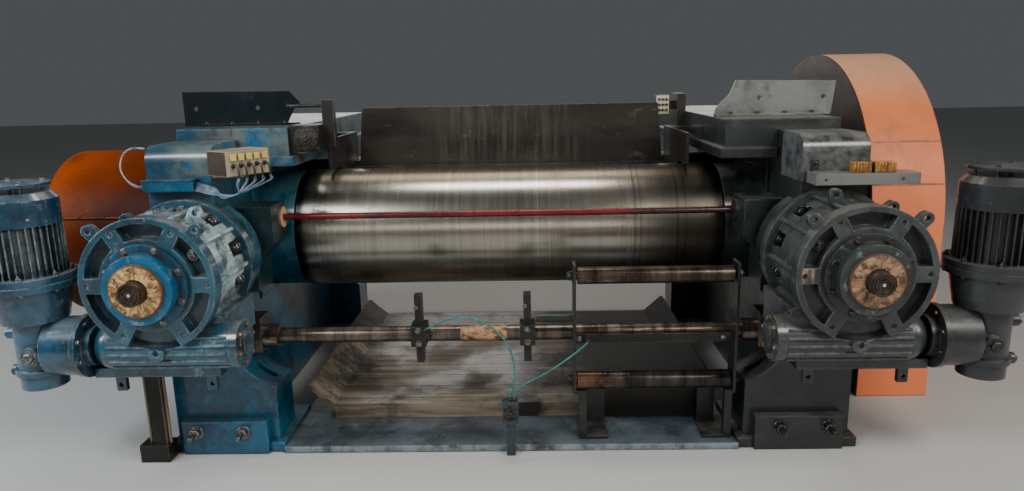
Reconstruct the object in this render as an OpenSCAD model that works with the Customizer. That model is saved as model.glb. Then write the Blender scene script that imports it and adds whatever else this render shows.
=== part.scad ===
// Two-roll mill stand: two cast side frames carry a front and a rear roll.
// X runs along the rolls, Y points to the back, Z points up.
// The origin is on the floor, midway between the frames, below the nip.

/* [Rolls] */
// Diameter of both rolls
roll_d = 610; // [560:5:620]
// Length of the roll faces
roll_face = 2100; // [1600:10:2400]
// Gap between the two rolls
nip_gap = 6; // [5:1:12]
// Height of the roll axes above the floor
roll_axis_z = 900; // [880:5:960]
// Diameter of the journals in the bearings
journal_d = 260; // [220:5:300]
// Diameter of the shaft ends that run into the gear guards
shaft_d = 200; // [140:5:210]
// Radial running clearance of shafts in their bearings
running_fit = 0.05; // [0.02:0.01:0.08]
// Gap between a roll end and the bearing housing
roll_end_gap = 10; // [6:1:30]

/* [Side frames] */
// Width of a frame's foot along the rolls
foot_w = 470; // [430:5:520]
// Width of the frame's upright web along the rolls
web_w = 280; // [240:5:300]
// Distance from the nip to the front of the frames
frame_front = 1050; // [1000:5:1100]
// Distance from the nip to the back of the frames
frame_back = 900; // [800:5:1000]
// Height of the foot
foot_h = 293; // [240:1:330]
// Depth of each foot pad from front to back
foot_depth = 220; // [160:5:280]
// Radius of the scoop between foot and web
foot_fillet = 270; // [190:5:300]
// Thickness of the flange around the foot
foot_flange_t = 45; // [20:1:70]
// How far the flange stands out from the foot
foot_flange_out = 30; // [10:1:32]
// Depth of the flange under each foot pad
foot_flange_depth = 410; // [300:10:500]
// Length of the anchor bolt pocket in a foot
pocket_len = 90; // [60:5:110]
// Width of the anchor bolt pocket
anchor_w = 44; // [30:2:60]
// Free space in the window in front of the opened carriage
window_spare = 22; // [6:1:60]
// Height of the window's sill below the roll axis
sill_drop = 305; // [302:1:330]
// Height of the frame head above the cap's seat
head_rise = 125; // [80:5:150]
// Depth of the frame head from front to back
head_depth = 310; // [250:5:350]
// Radius of the head's rounded front edge
head_round = 70; // [30:5:100]
// Radius of the round seat for the adjuster housing
seat_r = 250; // [220:5:262]
// Depth of the round seat
seat_depth = 150; // [80:5:180]

/* [Bearing housings] */
// Outer radius of the bell on the roll side
bell_r = 300; // [285:1:302]
// Distance from a roll axis to the outer side of its housing
housing_half = 285; // [260:5:340]
// Gap between the front and the rear housing
housing_gap = 46; // [20:2:80]
// Sliding clearance above and below the housings
slide_fit = 0.3; // [0.1:0.1:0.5]
// Height from the roll axis to the top of the housings
housing_rise = 375; // [340:5:400]
// Radius of the round end cover outside the frame
end_cover_r = 255; // [200:5:270]
// Thickness of the round end cover
end_cover_t = 60; // [30:5:80]

/* [Caps] */
// Thickness of the cap above its ledge
cap_t = 130; // [90:5:150]
// Thickness of the cap's ledge
ledge_t = 45; // [25:5:60]
// How far the cap reaches past the foot towards the rolls
cap_over = 50; // [0:5:55]
// How far the ledge stands out in front of the cap
ledge_out = 25; // [5:5:40]
// Clearance between cap and frame head
cap_gap = 8; // [3:1:20]
// Least gap between a cap and the stock guides' plates
cap_clear = 10; // [5:1:40]

/* [Nip adjusters] */
// Distance from the frame's outer face to the screw axis
screw_inset = 157; // [145:1:165]
// Radius of the screw
screw_r = 45; // [30:1:55]
// Radial clearance around the screw
screw_clear = 3; // [1:1:5]
// How far the carriage can open
carriage_travel = 25; // [10:1:40]
// Length of the adjuster housing in front of the frame
drum_len = 405; // [350:5:450]
// Outer radius of the front rim
rim_r = 267; // [240:1:280]
// Depth of the front rim
rim_depth = 60; // [40:5:90]
// Radial width of the rim
rim_w = 24; // [15:1:40]
// Radius of the barrel behind the rim
barrel_r = 244; // [236:1:248]
// Radius of the mounting flange
flange_r = 277; // [260:1:300]
// Thickness of the mounting flange
flange_t = 45; // [30:5:70]
// Number of arms across the front
arm_count = 6; // [4:1:8]
// Width of an arm
arm_w = 62; // [40:2:80]
// Radius of the hub that the arms meet
hub_r = 185; // [160:1:200]
// Depth of the pockets between the arms
pocket_depth = 48; // [20:1:55]
// Radius of an arm's bolt hole
arm_hole_r = 10; // [6:1:14]
// Depth of the bolt holes
arm_hole_depth = 45; // [20:5:60]
// Number of ribs along the barrel, with a bolt pocket between two
barrel_ribs = 10; // [6:1:12]
// Thickness of the barrel ribs
barrel_rib_t = 14; // [8:1:20]
// Width of a bolt pocket in the barrel
bolt_pocket_w = 62; // [40:2:70]
// Length of a bolt pocket
bolt_pocket_len = 95; // [60:5:130]
// Depth of a bolt pocket
bolt_pocket_depth = 42; // [20:2:50]
// Radius of a lifting lug
lug_r = 26; // [20:1:36]
// Radius of the hole in a lug
lug_hole_r = 11; // [6:1:14]
// Radius of the bearing cover
cover_r = 167; // [150:1:175]
// Thickness of the bearing cover
cover_t = 20; // [10:1:30]
// Radius of the cover's boss
boss_r = 135; // [115:1:145]
// Length of the cover's boss
boss_len = 55; // [30:5:80]
// Radius of the worn disc on the boss
disc_r = 103; // [80:1:112]
// Thickness of the worn disc
disc_t = 14; // [6:1:20]
// How far the screw's end stands out of the disc
screw_out = 45; // [20:5:80]

/* [Worm housing] */
// Radius of the worm housing
worm_r = 98; // [80:1:110]
// Drop from the screw axis to the worm axis
worm_drop = 280; // [250:5:300]
// Distance from the frame front to the worm axis
worm_ahead = 285; // [240:5:320]
// Length of the worm housing towards the rolls
worm_in = 280; // [240:5:300]
// Length of the worm housing away from the rolls
worm_out = 290; // [260:5:320]
// Radius of the rounded outer end
worm_round = 75; // [40:5:78]
// Number of ribs along the worm housing
worm_ribs = 5; // [3:1:7]
// Thickness of a worm housing rib
worm_rib_t = 8; // [5:1:14]
// How far the ribs stand out
worm_rib_out = 8; // [4:1:14]
// Radius of the worm's end flange
worm_flange_r = 100; // [80:1:110]
// Thickness of the worm's end flange
worm_flange_t = 30; // [15:1:50]
// Thickness of the plate under the worm housing
lug_plate_t = 40; // [20:2:50]
// Height of that plate's underside
lug_plate_z = 485; // [470:5:495]
// Reach of that plate towards the rolls
lug_plate_in = 205; // [180:5:260]
// Reach of that plate away from the rolls
lug_plate_out = 316; // [290:1:340]
// Height of the two tabs under the plate
tab_h = 115; // [60:5:125]
// Width of a tab
tab_w = 42; // [30:2:60]

/* [Gear motors] */
// Distance from the screw axis to the motor axis
motor_offset = 537; // [520:1:620]
// Radius of the gearbox body
gearbox_r = 88; // [80:1:118]
// Height of the gearbox foot above the floor
gearbox_base = 456; // [400:2:480]
// Height of the gearbox body's upper edge
gearbox_top = 742; // [720:2:780]
// Radius of the coupling between worm housing and gearbox
coupling_r = 122; // [105:1:135]
// Height of the motor's flange face
motor_base = 905; // [880:5:940]
// Radius of the motor flange
motor_flange_r = 178; // [165:1:200]
// Thickness of the motor flange
motor_flange_t = 28; // [15:1:40]
// Radius of the motor body without fins
motor_r = 125; // [110:1:155]
// Depth of the cooling fins
fin_out = 22; // [15:1:30]
// Number of cooling fins
fin_count = 36; // [24:1:48]
// Thickness of a cooling fin
fin_t = 5; // [3:0.5:8]
// Height of the finned part
fin_h = 200; // [160:5:260]
// Height of the fan cowl
cowl_h = 125; // [80:5:140]
// Chamfer around the top of the fan cowl
cowl_chamfer = 26; // [10:1:40]
// Gap under the rain canopy
canopy_gap = 24; // [15:1:40]
// Thickness of the rain canopy
canopy_t = 12; // [6:1:20]
// Radius of the rain canopy
canopy_r = 128; // [120:1:165]

/* [Gear guards] */
// Width of the left guard along the rolls
left_guard_w = 640; // [500:10:760]
// Radius of the left guard around the front roll axis
left_guard_r = 425; // [400:5:450]
// Radius of the left guard around the rear roll axis
left_guard_rear_r = 360; // [340:5:400]
// Radius of the left guard's rounded outer edge
guard_round = 45; // [20:5:60]
// Distance from the frame to the left guard
left_guard_gap = 90; // [80:5:120]
// Distance from the frame to the right guard
right_guard_gap = 260; // [200:5:320]
// Width of the right guard along the rolls
right_guard_w = 360; // [300:5:450]
// Radius of the right guard
right_guard_r = 850; // [800:5:880]
// Depth of the shaft sockets in the guards
socket_depth = 80; // [40:5:120]
// Clearance around a shaft in a guard
socket_clear = 35; // [30:1:50]
// Height of the brackets that hold the guards to the frames
guard_bracket_h = 90; // [50:5:110]

/* [Base] */
// Thickness of the bedplate between the frames
bed_t = 28; // [15:1:40]
// Distance from the frame front to the bedplate's front edge
bed_ahead = 45; // [31:1:80]
// Depth of the open deck in front of the drip pan
deck_depth = 300; // [250:10:340]
// Thickness of the plates bolted in front of the feet
foot_plate_t = 50; // [40:5:90]
// Height of the plates bolted in front of the feet
foot_plate_h = 158; // [120:1:200]
// Width of the plates bolted in front of the feet
foot_plate_w = 390; // [340:1:420]
// Height of the pan floor above the ground
pan_z = 100; // [80:5:140]
// Thickness of the pan boards
pan_t = 28; // [15:1:40]
// Length of the pan from front to back
pan_len = 1450; // [1200:10:1550]
// Width of the pan floor
pan_w = 1740; // [1400:10:1780]
// Height of the pan's sloping sides
pan_side_h = 100; // [60:5:140]
// How far the pan's sides lean out
pan_side_out = 125; // [60:5:130]
// Thickness of the pan's sides and bearers
pan_side_t = 14; // [8:1:25]
// Height of the spill plate at the pan's front
spill_h = 140; // [80:5:160]

/* [Take-off unit] */
// Place of the left cheek plate along the rolls
cheek_left_x = 290; // [200:5:400]
// Place of the right cheek plate along the rolls
cheek_right_x = 1000; // [900:5:1020]
// Thickness of a cheek plate
cheek_t = 12; // [8:1:20]
// Width of a cheek plate from front to back
cheek_w = 100; // [80:2:106]
// Height of the cheek plates' upper end
cheek_h = 855; // [845:5:900]
// Height of the cheek plates' lower end
cheek_low = 262; // [100:2:280]
// Distance from the nip to the take-off rollers
takeoff_y = 1020; // [990:5:1040]
// Radius of the upper roller
upper_r = 38; // [30:1:45]
// Height of the upper roller
upper_z = 800; // [760:5:820]
// Radius of the lower roller
lower_r = 41; // [30:1:50]
// Height of the lower roller
lower_z = 310; // [300:5:360]
// Radius of the roller spindles
spindle_r = 15; // [10:1:18]
// Height of the tie bar
tie_z = 508; // [480:2:540]
// Width of the tie bar
tie_h = 42; // [30:1:60]
// Thickness of the tie bar
tie_t = 8; // [5:1:14]
// Gap between a roller end and a cheek
roller_gap = 8; // [5:1:15]
// Width of the legs under the cheek plates
leg_w = 34; // [20:1:50]
// Length of the tube on the left cheek plate
tube_len = 165; // [100:5:200]
// Height of that tube above the tie bar
tube_rise = 102; // [60:2:140]
// Width of the short posts behind the legs
stub_w = 82; // [50:2:100]
// Height of the short posts behind the legs
stub_h = 212; // [150:2:225]

/* [Bars] */
// Radius of the safety bar
safety_r = 15; // [10:1:20]
// Height of the safety bar above the roll axis
safety_rise = 130; // [100:5:160]
// Distance from the nip to the safety bar
safety_y = 720; // [710:5:760]
// Radius of the discs at the ends of the safety bar
end_disc_r = 50; // [30:1:60]
// Thickness of the discs at the ends of the safety bar
end_disc_t = 10; // [5:1:14]
// Width of a safety bar bracket along the rolls
bracket_w = 175; // [120:5:180]
// Radius of the knife bar
knife_r = 36; // [25:1:42]
// Height of the knife bar
knife_z = 508; // [480:2:560]
// Radius of the knife bar's collars
knife_collar_r = 54; // [45:1:62]
// Length of a knife bar collar
knife_collar_len = 70; // [40:5:80]
// Distance from the nip to the knife bar
knife_y = 925; // [900:5:928]
// Place of the left knife clamp along the rolls
clamp_left_x = -410; // [-600:5:-300]
// Place of the right knife clamp along the rolls
clamp_right_x = 88; // [0:2:150]
// Width of a knife clamp along the rolls
clamp_w = 70; // [40:2:90]
// Reach of the knife clamps above the knife bar
clamp_up = 190; // [120:5:230]
// Reach of the knife clamps below the knife bar
clamp_down = 135; // [80:5:150]

/* [Stock plate] */
// Width of the stock plate along its lower edge
stock_w = 1740; // [1400:10:1760]
// How much narrower the stock plate is at its top
stock_taper = 60; // [0:10:200]
// Height of the stock plate
stock_h = 330; // [250:5:360]
// Thickness of the stock plate
stock_t = 10; // [6:1:16]
// Gap between the rear roll's top and the stock plate
stock_gap = -30; // [-40:2:20]
// Distance from the nip to the stock plate
stock_y = 100; // [60:5:130]
// Width of the angle strip under the stock plate
strip_w = 60; // [30:2:80]
// Thickness of the stock guide plates
guide_t = 15; // [8:1:20]
// Gap between a guide plate and the rolls
guide_gap = 10; // [6:1:20]
// Height of the guide plates above the roll axes
guide_rise = 470; // [420:5:500]
// Height of the guide plates' lower edge above the roll axes
guide_low = 110; // [100:5:160]
// Depth of the guide plates in front of the nip
guide_front = 430; // [300:10:460]
// Depth of the guide plates behind the nip
guide_back = 190; // [160:10:260]

/* [Bracket plates] */
// Width of the left bracket plate
left_plate_w = 600; // [520:5:640]
// Height of the left bracket plate
left_plate_h = 168; // [140:2:200]
// Width of the right bracket plate
right_plate_w = 597; // [520:1:640]
// Height of the right bracket plate
right_plate_h = 172; // [140:2:200]
// Thickness of the bracket plates
bracket_plate_t = 12; // [6:1:20]
// Height of the holes in the bracket plates above the caps
bracket_hole_z = 85; // [60:5:120]

/* [Fittings] */
// Width of the valve box
valve_w = 70; // [50:2:90]
// Height of the valve box's upper side
valve_top = 258; // [200:2:300]
// Length of the lubricator
lube_len = 210; // [160:5:240]
// Depth of the lubricator
lube_w = 130; // [90:5:150]
// Height of the lubricator
lube_h = 105; // [70:5:130]
// Turn of the lubricator towards the operator
lube_turn = 50; // [30:5:60]
// Gap between the lubricator and the frame
lube_gap = 8; // [6:1:15]
// How far the lubricator stands in front of the frame
lube_ahead = 14; // [5:1:30]
// Reach of the lubricator's bearer from the frame
bearer_reach = 130; // [90:5:150]
// Width of the lamp shelf
shelf_w = 420; // [300:10:460]
// Depth of the lamp shelf
shelf_depth = 110; // [60:5:140]
// Height of the lamp shelf's edge
shelf_h = 46; // [20:2:60]
// Diameter of the air hoses
hose_d = 9; // [6:0.5:12]

/* [Hidden] */
$fn = 96;

roll_r = roll_d / 2;
axis_y = roll_r + nip_gap / 2;
foot_in = roll_face / 2 + roll_end_gap;
frame_out = foot_in + foot_w;
web_in = frame_out - web_w;
screw_x = frame_out - screw_inset;
window_reach = axis_y + housing_half + carriage_travel + window_spare;
sill_z = roll_axis_z - sill_drop;
cap_seat_z = roll_axis_z + housing_rise;
head_z = cap_seat_z + head_rise;
head_back = frame_front - head_depth;
cap_front = head_back - cap_gap;
cap_top_z = cap_seat_z + ledge_t + cap_t;
drum_front = frame_front + drum_len;
cover_front = drum_front + cover_t;
boss_front = cover_front + boss_len;
disc_front = boss_front + disc_t;
screw_front = disc_front + screw_out;
worm_y = frame_front + worm_ahead;
worm_z = roll_axis_z - worm_drop;
motor_x = screw_x + motor_offset;
cowl_z = motor_base + motor_flange_t + fin_h;
canopy_z = cowl_z + cowl_h + canopy_gap;
bed_front = frame_front + bed_ahead;
pan_front = bed_front - deck_depth;
stock_z = roll_axis_z + roll_r + stock_gap;
guide_x = stock_w / 2 + 25;
cap_in = max(foot_in - cap_over, guide_x + guide_t + ledge_out + cap_clear);
clamp_in = min(cap_in - 140, guide_x + guide_t - 1);
safety_z = roll_axis_z + safety_rise;
bracket_in = web_in - bracket_w;
valve_x = 7;

// Route of the air hose from the left knife clamp to the valve box
CLAMP_HOSE = [
    [-375, -985, 545], [-355, -988, 556], [-330, -992, 572], [-300, -996, 588], [-265, -1000, 601],
    [-225, -1004, 608], [-185, -1008, 608], [-145, -1013, 600], [-105, -1019, 585], [-70, -1026, 565],
    [-38, -1035, 538], [-12, -1045, 508], [8, -1056, 474], [20, -1068, 438], [26, -1080, 400],
    [26, -1092, 364], [22, -1104, 332], [14, -1114, 303], [6, -1121, 280], [6, -1121, 258]
];
// Route of the air hose from the valve box to the take-off unit
CHEEK_HOSE = [
    [25, -1122, 258], [25, -1122, 276], [31, -1121, 295], [45, -1120, 314], [66, -1117, 330],
    [95, -1113, 345], [130, -1108, 361], [168, -1103, 380], [205, -1099, 401], [240, -1096, 424],
    [272, -1093, 447], [302, -1089, 468], [328, -1081, 487], [348, -1072, 502], [356, -1058, 508],
    [356, -1040, 508]
];

// Mirrors its children to the left stand
module left() {
    mirror([1, 0, 0]) children();
}

// Extrudes a Y-Z outline along X from x0 to x1
module slab_x(x0, x1) {
    translate([x0, 0, 0]) rotate([90, 0, 90]) linear_extrude(x1 - x0) children();
}

// Extrudes an X-Z outline along Y from y0 to y1
module slab_y(y0, y1) {
    translate([0, y1, 0]) rotate([90, 0, 0]) linear_extrude(y1 - y0) children();
}

// A round bar along X
module rod_x(x0, x1, r, y, z) {
    translate([x0, y, z]) rotate([0, 90, 0]) cylinder(r = r, h = x1 - x0);
}

// A round bar along Y
module rod_y(y0, y1, r, x, z) {
    translate([x, y0, z]) rotate([-90, 0, 0]) cylinder(r = r, h = y1 - y0);
}

// A box between two corners
module block(lo, hi) {
    translate(lo) cube(hi - lo);
}

// Places its children in turn around the screw axis, from an angle in equal steps
module around_screw(count, start = 0) {
    for (i = [0 : count - 1])
        translate([screw_x, 0, roll_axis_z]) rotate([0, start + i * 360 / count, 0]) children();
}

// Side outline of the upright web, a U that the cap closes
module web_outline() {
    difference() {
        translate([-frame_front, 0]) square([frame_front + frame_back, cap_seat_z]);
        translate([-window_reach, sill_z]) square([2 * window_reach, cap_seat_z]);
    }
    translate([-frame_front, cap_seat_z - 1]) square([head_depth, head_rise + 1 - head_round]);
    translate([-frame_front + head_round, cap_seat_z]) square([head_depth - head_round, head_rise]);
    translate([-frame_front + head_round, head_z - head_round]) circle(r = head_round);
}

// Front outline of a foot pad with the scoop up to the web
module foot_outline() {
    difference() {
        translate([foot_in, 0]) square([web_in - foot_in + 1, foot_h + foot_fillet]);
        translate([web_in - foot_fillet, foot_h + foot_fillet]) circle(r = foot_fillet);
    }
}

module frame_body() {
    difference() {
        union() {
            slab_x(web_in, frame_out) web_outline();
            slab_y(-frame_front, -frame_front + foot_depth) foot_outline();
            slab_y(frame_back - foot_depth, frame_back) foot_outline();
            rod_y(-frame_front, -frame_front + seat_depth, seat_r, screw_x, roll_axis_z);
            for (y = [-frame_front - foot_flange_out, frame_back + foot_flange_out - foot_flange_depth])
                block([foot_in - foot_flange_out, y, 0],
                    [frame_out + foot_flange_out, y + foot_flange_depth, foot_flange_t]);
        }
        rod_y(-frame_front - 1, -window_reach + 1, screw_r + screw_clear, screw_x, roll_axis_z);
        block([foot_in + 30, -frame_front + 90, foot_h - 30],
            [foot_in + 30 + pocket_len, -frame_front + 90 + anchor_w, foot_h + foot_fillet]);
    }
}

module cap_body() {
    block([cap_in, -cap_front, cap_seat_z + ledge_t], [frame_out, frame_back, cap_top_z]);
    block([cap_in - ledge_out, -cap_front, cap_seat_z], [frame_out, frame_back, cap_seat_z + ledge_t]);
    block([cap_in - ledge_out, -cap_front - ledge_out, cap_seat_z],
        [web_in - cap_gap, -cap_front + 1, cap_seat_z + ledge_t]);
}

// Bearing housing around the roll axis at y, with its block from y_lo to y_hi
module housing_body(y, y_lo, y_hi) {
    difference() {
        union() {
            block([web_in, y_lo, sill_z + slide_fit], [frame_out, y_hi, cap_seat_z - slide_fit]);
            rod_x(foot_in, web_in, bell_r, y, roll_axis_z);
            rod_x(frame_out, frame_out + end_cover_t, end_cover_r, y, roll_axis_z);
        }
        rod_x(foot_in - 1, frame_out + end_cover_t + 1, journal_d / 2 + running_fit, y, roll_axis_z);
    }
}

// Roll with its journals at y, and shafts that end at the given X on each side
module roll_body(y, shaft_left, shaft_right) {
    rod_x(-roll_face / 2, roll_face / 2, roll_r, y, roll_axis_z);
    rod_x(-frame_out - end_cover_t / 2, frame_out + end_cover_t / 2, journal_d / 2, y, roll_axis_z);
    rod_x(-shaft_left, shaft_right, shaft_d / 2, y, roll_axis_z);
}

// Lifting lug at an angle above the outward horizontal, from y0 to y1
module lug(angle, reach, y0, y1) {
    translate([screw_x, 0, roll_axis_z]) rotate([0, -angle, 0]) difference() {
        union() {
            translate([hub_r, y0, -lug_r]) cube([reach - hub_r, y1 - y0, 2 * lug_r]);
            translate([reach, y0, 0]) rotate([-90, 0, 0]) cylinder(r = lug_r, h = y1 - y0);
        }
        translate([reach, y0 - 1, 0]) rotate([-90, 0, 0]) cylinder(r = lug_hole_r, h = y1 - y0 + 2);
    }
}

// Sector around the screw axis between the two lowest arms
module low_sector() {
    span = 2 * rim_r;
    polygon([
        [screw_x, roll_axis_z],
        [screw_x + span * cos(60), roll_axis_z - span * sin(60)],
        [screw_x - span * cos(60), roll_axis_z - span * sin(60)]
    ]);
}

module arms(y0, y1, reach) {
    around_screw(arm_count) translate([0, y0, -arm_w / 2]) cube([reach, y1 - y0, arm_w]);
}

// Recesses between hub and rim, and the gap in the rim above the worm housing
module drum_pockets() {
    difference() {
        union() {
            rod_y(-drum_front - 1, -drum_front + pocket_depth, rim_r - rim_w, screw_x, roll_axis_z);
            intersection() {
                slab_y(-drum_front - 1, -drum_front + rim_depth + 1) low_sector();
                difference() {
                    rod_y(-drum_front - 1, -drum_front + rim_depth + 1, rim_r + 1, screw_x, roll_axis_z);
                    rod_y(-drum_front + pocket_depth, -drum_front + rim_depth + 2, barrel_r,
                        screw_x, roll_axis_z);
                }
            }
        }
        rod_y(-drum_front - 2, -drum_front + pocket_depth + 1, hub_r, screw_x, roll_axis_z);
        arms(-drum_front - 2, -drum_front + rim_depth + 2, rim_r + lug_r);
    }
}

// Worm housing, a cylinder along X with a rounded outer end and ribs along its front
module worm_housing() {
    x_in = screw_x - worm_in;
    x_out = screw_x + worm_out;
    rod_x(x_in, x_out - worm_round, worm_r, -worm_y, worm_z);
    rod_x(x_in, x_out, worm_r - worm_round, -worm_y, worm_z);
    translate([x_out - worm_round, -worm_y, worm_z]) rotate([0, 90, 0])
        rotate_extrude() intersection() {
            translate([worm_r - worm_round, 0]) circle(r = worm_round);
            square([worm_r, worm_round]);
        }
    rod_x(x_in - worm_flange_t, x_in + 1, worm_flange_r, -worm_y, worm_z);
    rod_x(x_in - worm_flange_t - 16, x_in, worm_flange_r / 2, -worm_y, worm_z);
    for (i = [0 : worm_ribs - 1]) {
        z = worm_z + worm_r * (i * 1.3 / (worm_ribs - 1) - 0.75);
        block([x_in + 12, -worm_y - worm_rib_out - sqrt(worm_r * worm_r - (z - worm_z) * (z - worm_z)),
                z - worm_rib_t / 2],
            [x_out - worm_round - 8, -worm_y, z + worm_rib_t / 2]);
    }
    difference() {
        rod_y(-worm_y - worm_r - 20, -worm_y, 32, screw_x, worm_z);
        translate([screw_x, -worm_y - worm_r - 21, worm_z]) rotate([-90, 0, 0])
            cylinder(r = 14, h = 14, $fn = 6);
    }
}

// Plate under the worm housing with a drilled tab near each end
module lug_plate() {
    block([screw_x - lug_plate_in, -worm_y - 20, lug_plate_z],
        [screw_x + lug_plate_out, -frame_front, lug_plate_z + lug_plate_t]);
    for (x = [screw_x - lug_plate_in + 122, screw_x + lug_plate_out - 5])
        difference() {
            block([x - tab_w, -frame_front - 175, lug_plate_z - tab_h],
                [x, -frame_front - 150, lug_plate_z + 1]);
            rod_y(-frame_front - 176, -frame_front - 149, arm_hole_r,
                x - tab_w / 2, lug_plate_z - tab_h * 0.75);
        }
}

module adjuster_body(eye_angle) {
    difference() {
        union() {
            rod_y(-frame_front - flange_t, -frame_front, flange_r, screw_x, roll_axis_z);
            rod_y(-drum_front + 10, -frame_front - 1, barrel_r, screw_x, roll_axis_z);
            rod_y(-drum_front, -drum_front + rim_depth, rim_r, screw_x, roll_axis_z);
            arms(-drum_front, -drum_front + rim_depth, rim_r - rim_w / 2);
            around_screw(barrel_ribs)
                translate([barrel_r - 5, -drum_front + rim_depth - 1, -barrel_rib_t / 2])
                    cube([rim_r - barrel_r + 1, drum_len - rim_depth - flange_t + 2, barrel_rib_t]);
            lug(46, rim_r + lug_r + 4, -drum_front + 10, -drum_front + 40);
            lug(134, rim_r + lug_r + 4, -drum_front + 10, -drum_front + 40);
            lug(eye_angle, rim_r + lug_r, -frame_front - 250, -frame_front - 225);
            lug(38, flange_r + 40, -frame_front - flange_t, -frame_front - 12);
            worm_housing();
            lug_plate();
            block([screw_x - worm_in + 30, -worm_y - 10, worm_z - 10],
                [screw_x + worm_out - 60, -frame_front, worm_z + 130]);
            block([screw_x - 140, -drum_front + pocket_depth, worm_z],
                [screw_x + 140, -frame_front, roll_axis_z]);
            rod_y(-worm_y - 26, -worm_y, 28, screw_x - worm_in + 62, worm_z + 98);
        }
        drum_pockets();
        around_screw(barrel_ribs, 180 / barrel_ribs)
            translate([barrel_r - bolt_pocket_depth, -frame_front - flange_t - bolt_pocket_len,
                    -bolt_pocket_w / 2])
                cube([bolt_pocket_depth + 40, bolt_pocket_len, bolt_pocket_w]);
        around_screw(arm_count)
            translate([(hub_r + rim_r) / 2 + 8, -drum_front - 1, 0]) rotate([-90, 0, 0])
                cylinder(r = arm_hole_r, h = arm_hole_depth + 1);
        rod_y(-drum_front - 1, -frame_front + 1, screw_r + screw_clear, screw_x, roll_axis_z);
    }
}

module cover_body() {
    difference() {
        union() {
            rod_y(-cover_front, -drum_front, cover_r, screw_x, roll_axis_z);
            rod_y(-boss_front, -drum_front, boss_r, screw_x, roll_axis_z);
            rod_y(-disc_front, -drum_front, disc_r, screw_x, roll_axis_z);
        }
        rod_y(-disc_front - 1, -drum_front + 1, screw_r + screw_clear, screw_x, roll_axis_z);
    }
}

module screw_body() {
    rod_y(-screw_front, -axis_y - housing_half, screw_r, screw_x, roll_axis_z);
}

module gearbox_body() {
    x0 = screw_x + worm_out;
    x1 = screw_x + lug_plate_out + 4;
    rod_x(x0, motor_x, worm_r - worm_round + 60, -worm_y, worm_z);
    rod_x(x1, x1 + 22, coupling_r + 8, -worm_y, worm_z);
    rod_x(x1 + 21, motor_x - gearbox_r + 20, coupling_r, -worm_y, worm_z);
    translate([motor_x, -worm_y, gearbox_base]) cylinder(r = gearbox_r, h = gearbox_top - gearbox_base);
    translate([motor_x, -worm_y, gearbox_base + 60]) cylinder(r = gearbox_r + 12, h = 24);
    translate([motor_x, -worm_y, gearbox_top - 1])
        cylinder(r1 = coupling_r + 4, r2 = motor_flange_r - 26, h = motor_base - 25 - gearbox_top + 1);
    translate([motor_x, -worm_y, motor_base - 26]) cylinder(r = motor_flange_r, h = 26);
    rod_y(-worm_y - gearbox_r - 22, -worm_y, 38, motor_x - 24, worm_z - 12);
    for (z = [gearbox_base + 62, gearbox_base + 221])
        rod_x(motor_x, motor_x + gearbox_r + 34, 24, -worm_y, z);
}

module motor_body() {
    translate([motor_x, -worm_y, motor_base]) {
        cylinder(r = motor_flange_r, h = motor_flange_t);
        cylinder(r = motor_r, h = motor_flange_t + fin_h + cowl_h / 2);
        for (i = [0 : fin_count - 1]) rotate([0, 0, i * 360 / fin_count])
            translate([motor_r - 3, -fin_t / 2, motor_flange_t])
                cube([fin_out + 3, fin_t, fin_h]);
    }
    translate([motor_x, -worm_y, cowl_z - 1]) {
        cylinder(r = motor_r + fin_out, h = cowl_h - cowl_chamfer + 1);
        translate([0, 0, cowl_h - cowl_chamfer])
            cylinder(r1 = motor_r + fin_out, r2 = motor_r + fin_out - cowl_chamfer, h = cowl_chamfer + 1);
        cylinder(r = 22, h = canopy_z - cowl_z + 2);
    }
    translate([motor_x, -worm_y, canopy_z]) cylinder(r = canopy_r, h = canopy_t);
}

// Side outline of the left guard, two circles and their tangents, drawn smaller by inset
module left_guard_outline(inset) {
    front = left_guard_r - inset;
    rear = left_guard_rear_r - inset;
    lean = asin((front - rear) / (2 * axis_y));
    translate([-axis_y, roll_axis_z]) circle(r = front);
    translate([axis_y, roll_axis_z]) circle(r = rear);
    translate([0, roll_axis_z]) polygon([
        [-axis_y + front * sin(lean), front * cos(lean)], [axis_y + rear * sin(lean), rear * cos(lean)],
        [axis_y + rear * sin(lean), -rear * cos(lean)], [-axis_y + front * sin(lean), -front * cos(lean)]
    ]);
}

// Rounded rim of the left guard around one roll axis
module guard_rim(y, r, x) {
    translate([x, y, roll_axis_z]) rotate([0, 90, 0]) rotate_extrude()
        translate([r - guard_round, 0]) circle(r = guard_round);
}

module left_guard_body() {
    x0 = frame_out + left_guard_gap;
    x1 = x0 + left_guard_w;
    lean = asin((left_guard_r - left_guard_rear_r) / (2 * axis_y));
    difference() {
        union() {
            slab_x(x0, x1 - guard_round) left_guard_outline(0);
            slab_x(x1 - guard_round - 1, x1) left_guard_outline(guard_round);
            guard_rim(-axis_y, left_guard_r, x1 - guard_round);
            guard_rim(axis_y, left_guard_rear_r, x1 - guard_round);
            for (s = [-1, 1])
                translate([x1 - guard_round, -axis_y + (left_guard_r - guard_round) * sin(lean),
                        roll_axis_z + s * (left_guard_r - guard_round) * cos(lean)])
                    rotate([-90 - s * lean, 0, 0])
                        cylinder(r = guard_round, h = 2 * axis_y * cos(lean));
            block([frame_out, -axis_y, sill_z - 30 - guard_bracket_h], [x0 + 1, axis_y, sill_z - 30]);
        }
        for (s = [-1, 1])
            rod_x(x0 - 1, x0 + socket_depth, shaft_d / 2 + socket_clear, s * axis_y, roll_axis_z);
    }
}

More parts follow.
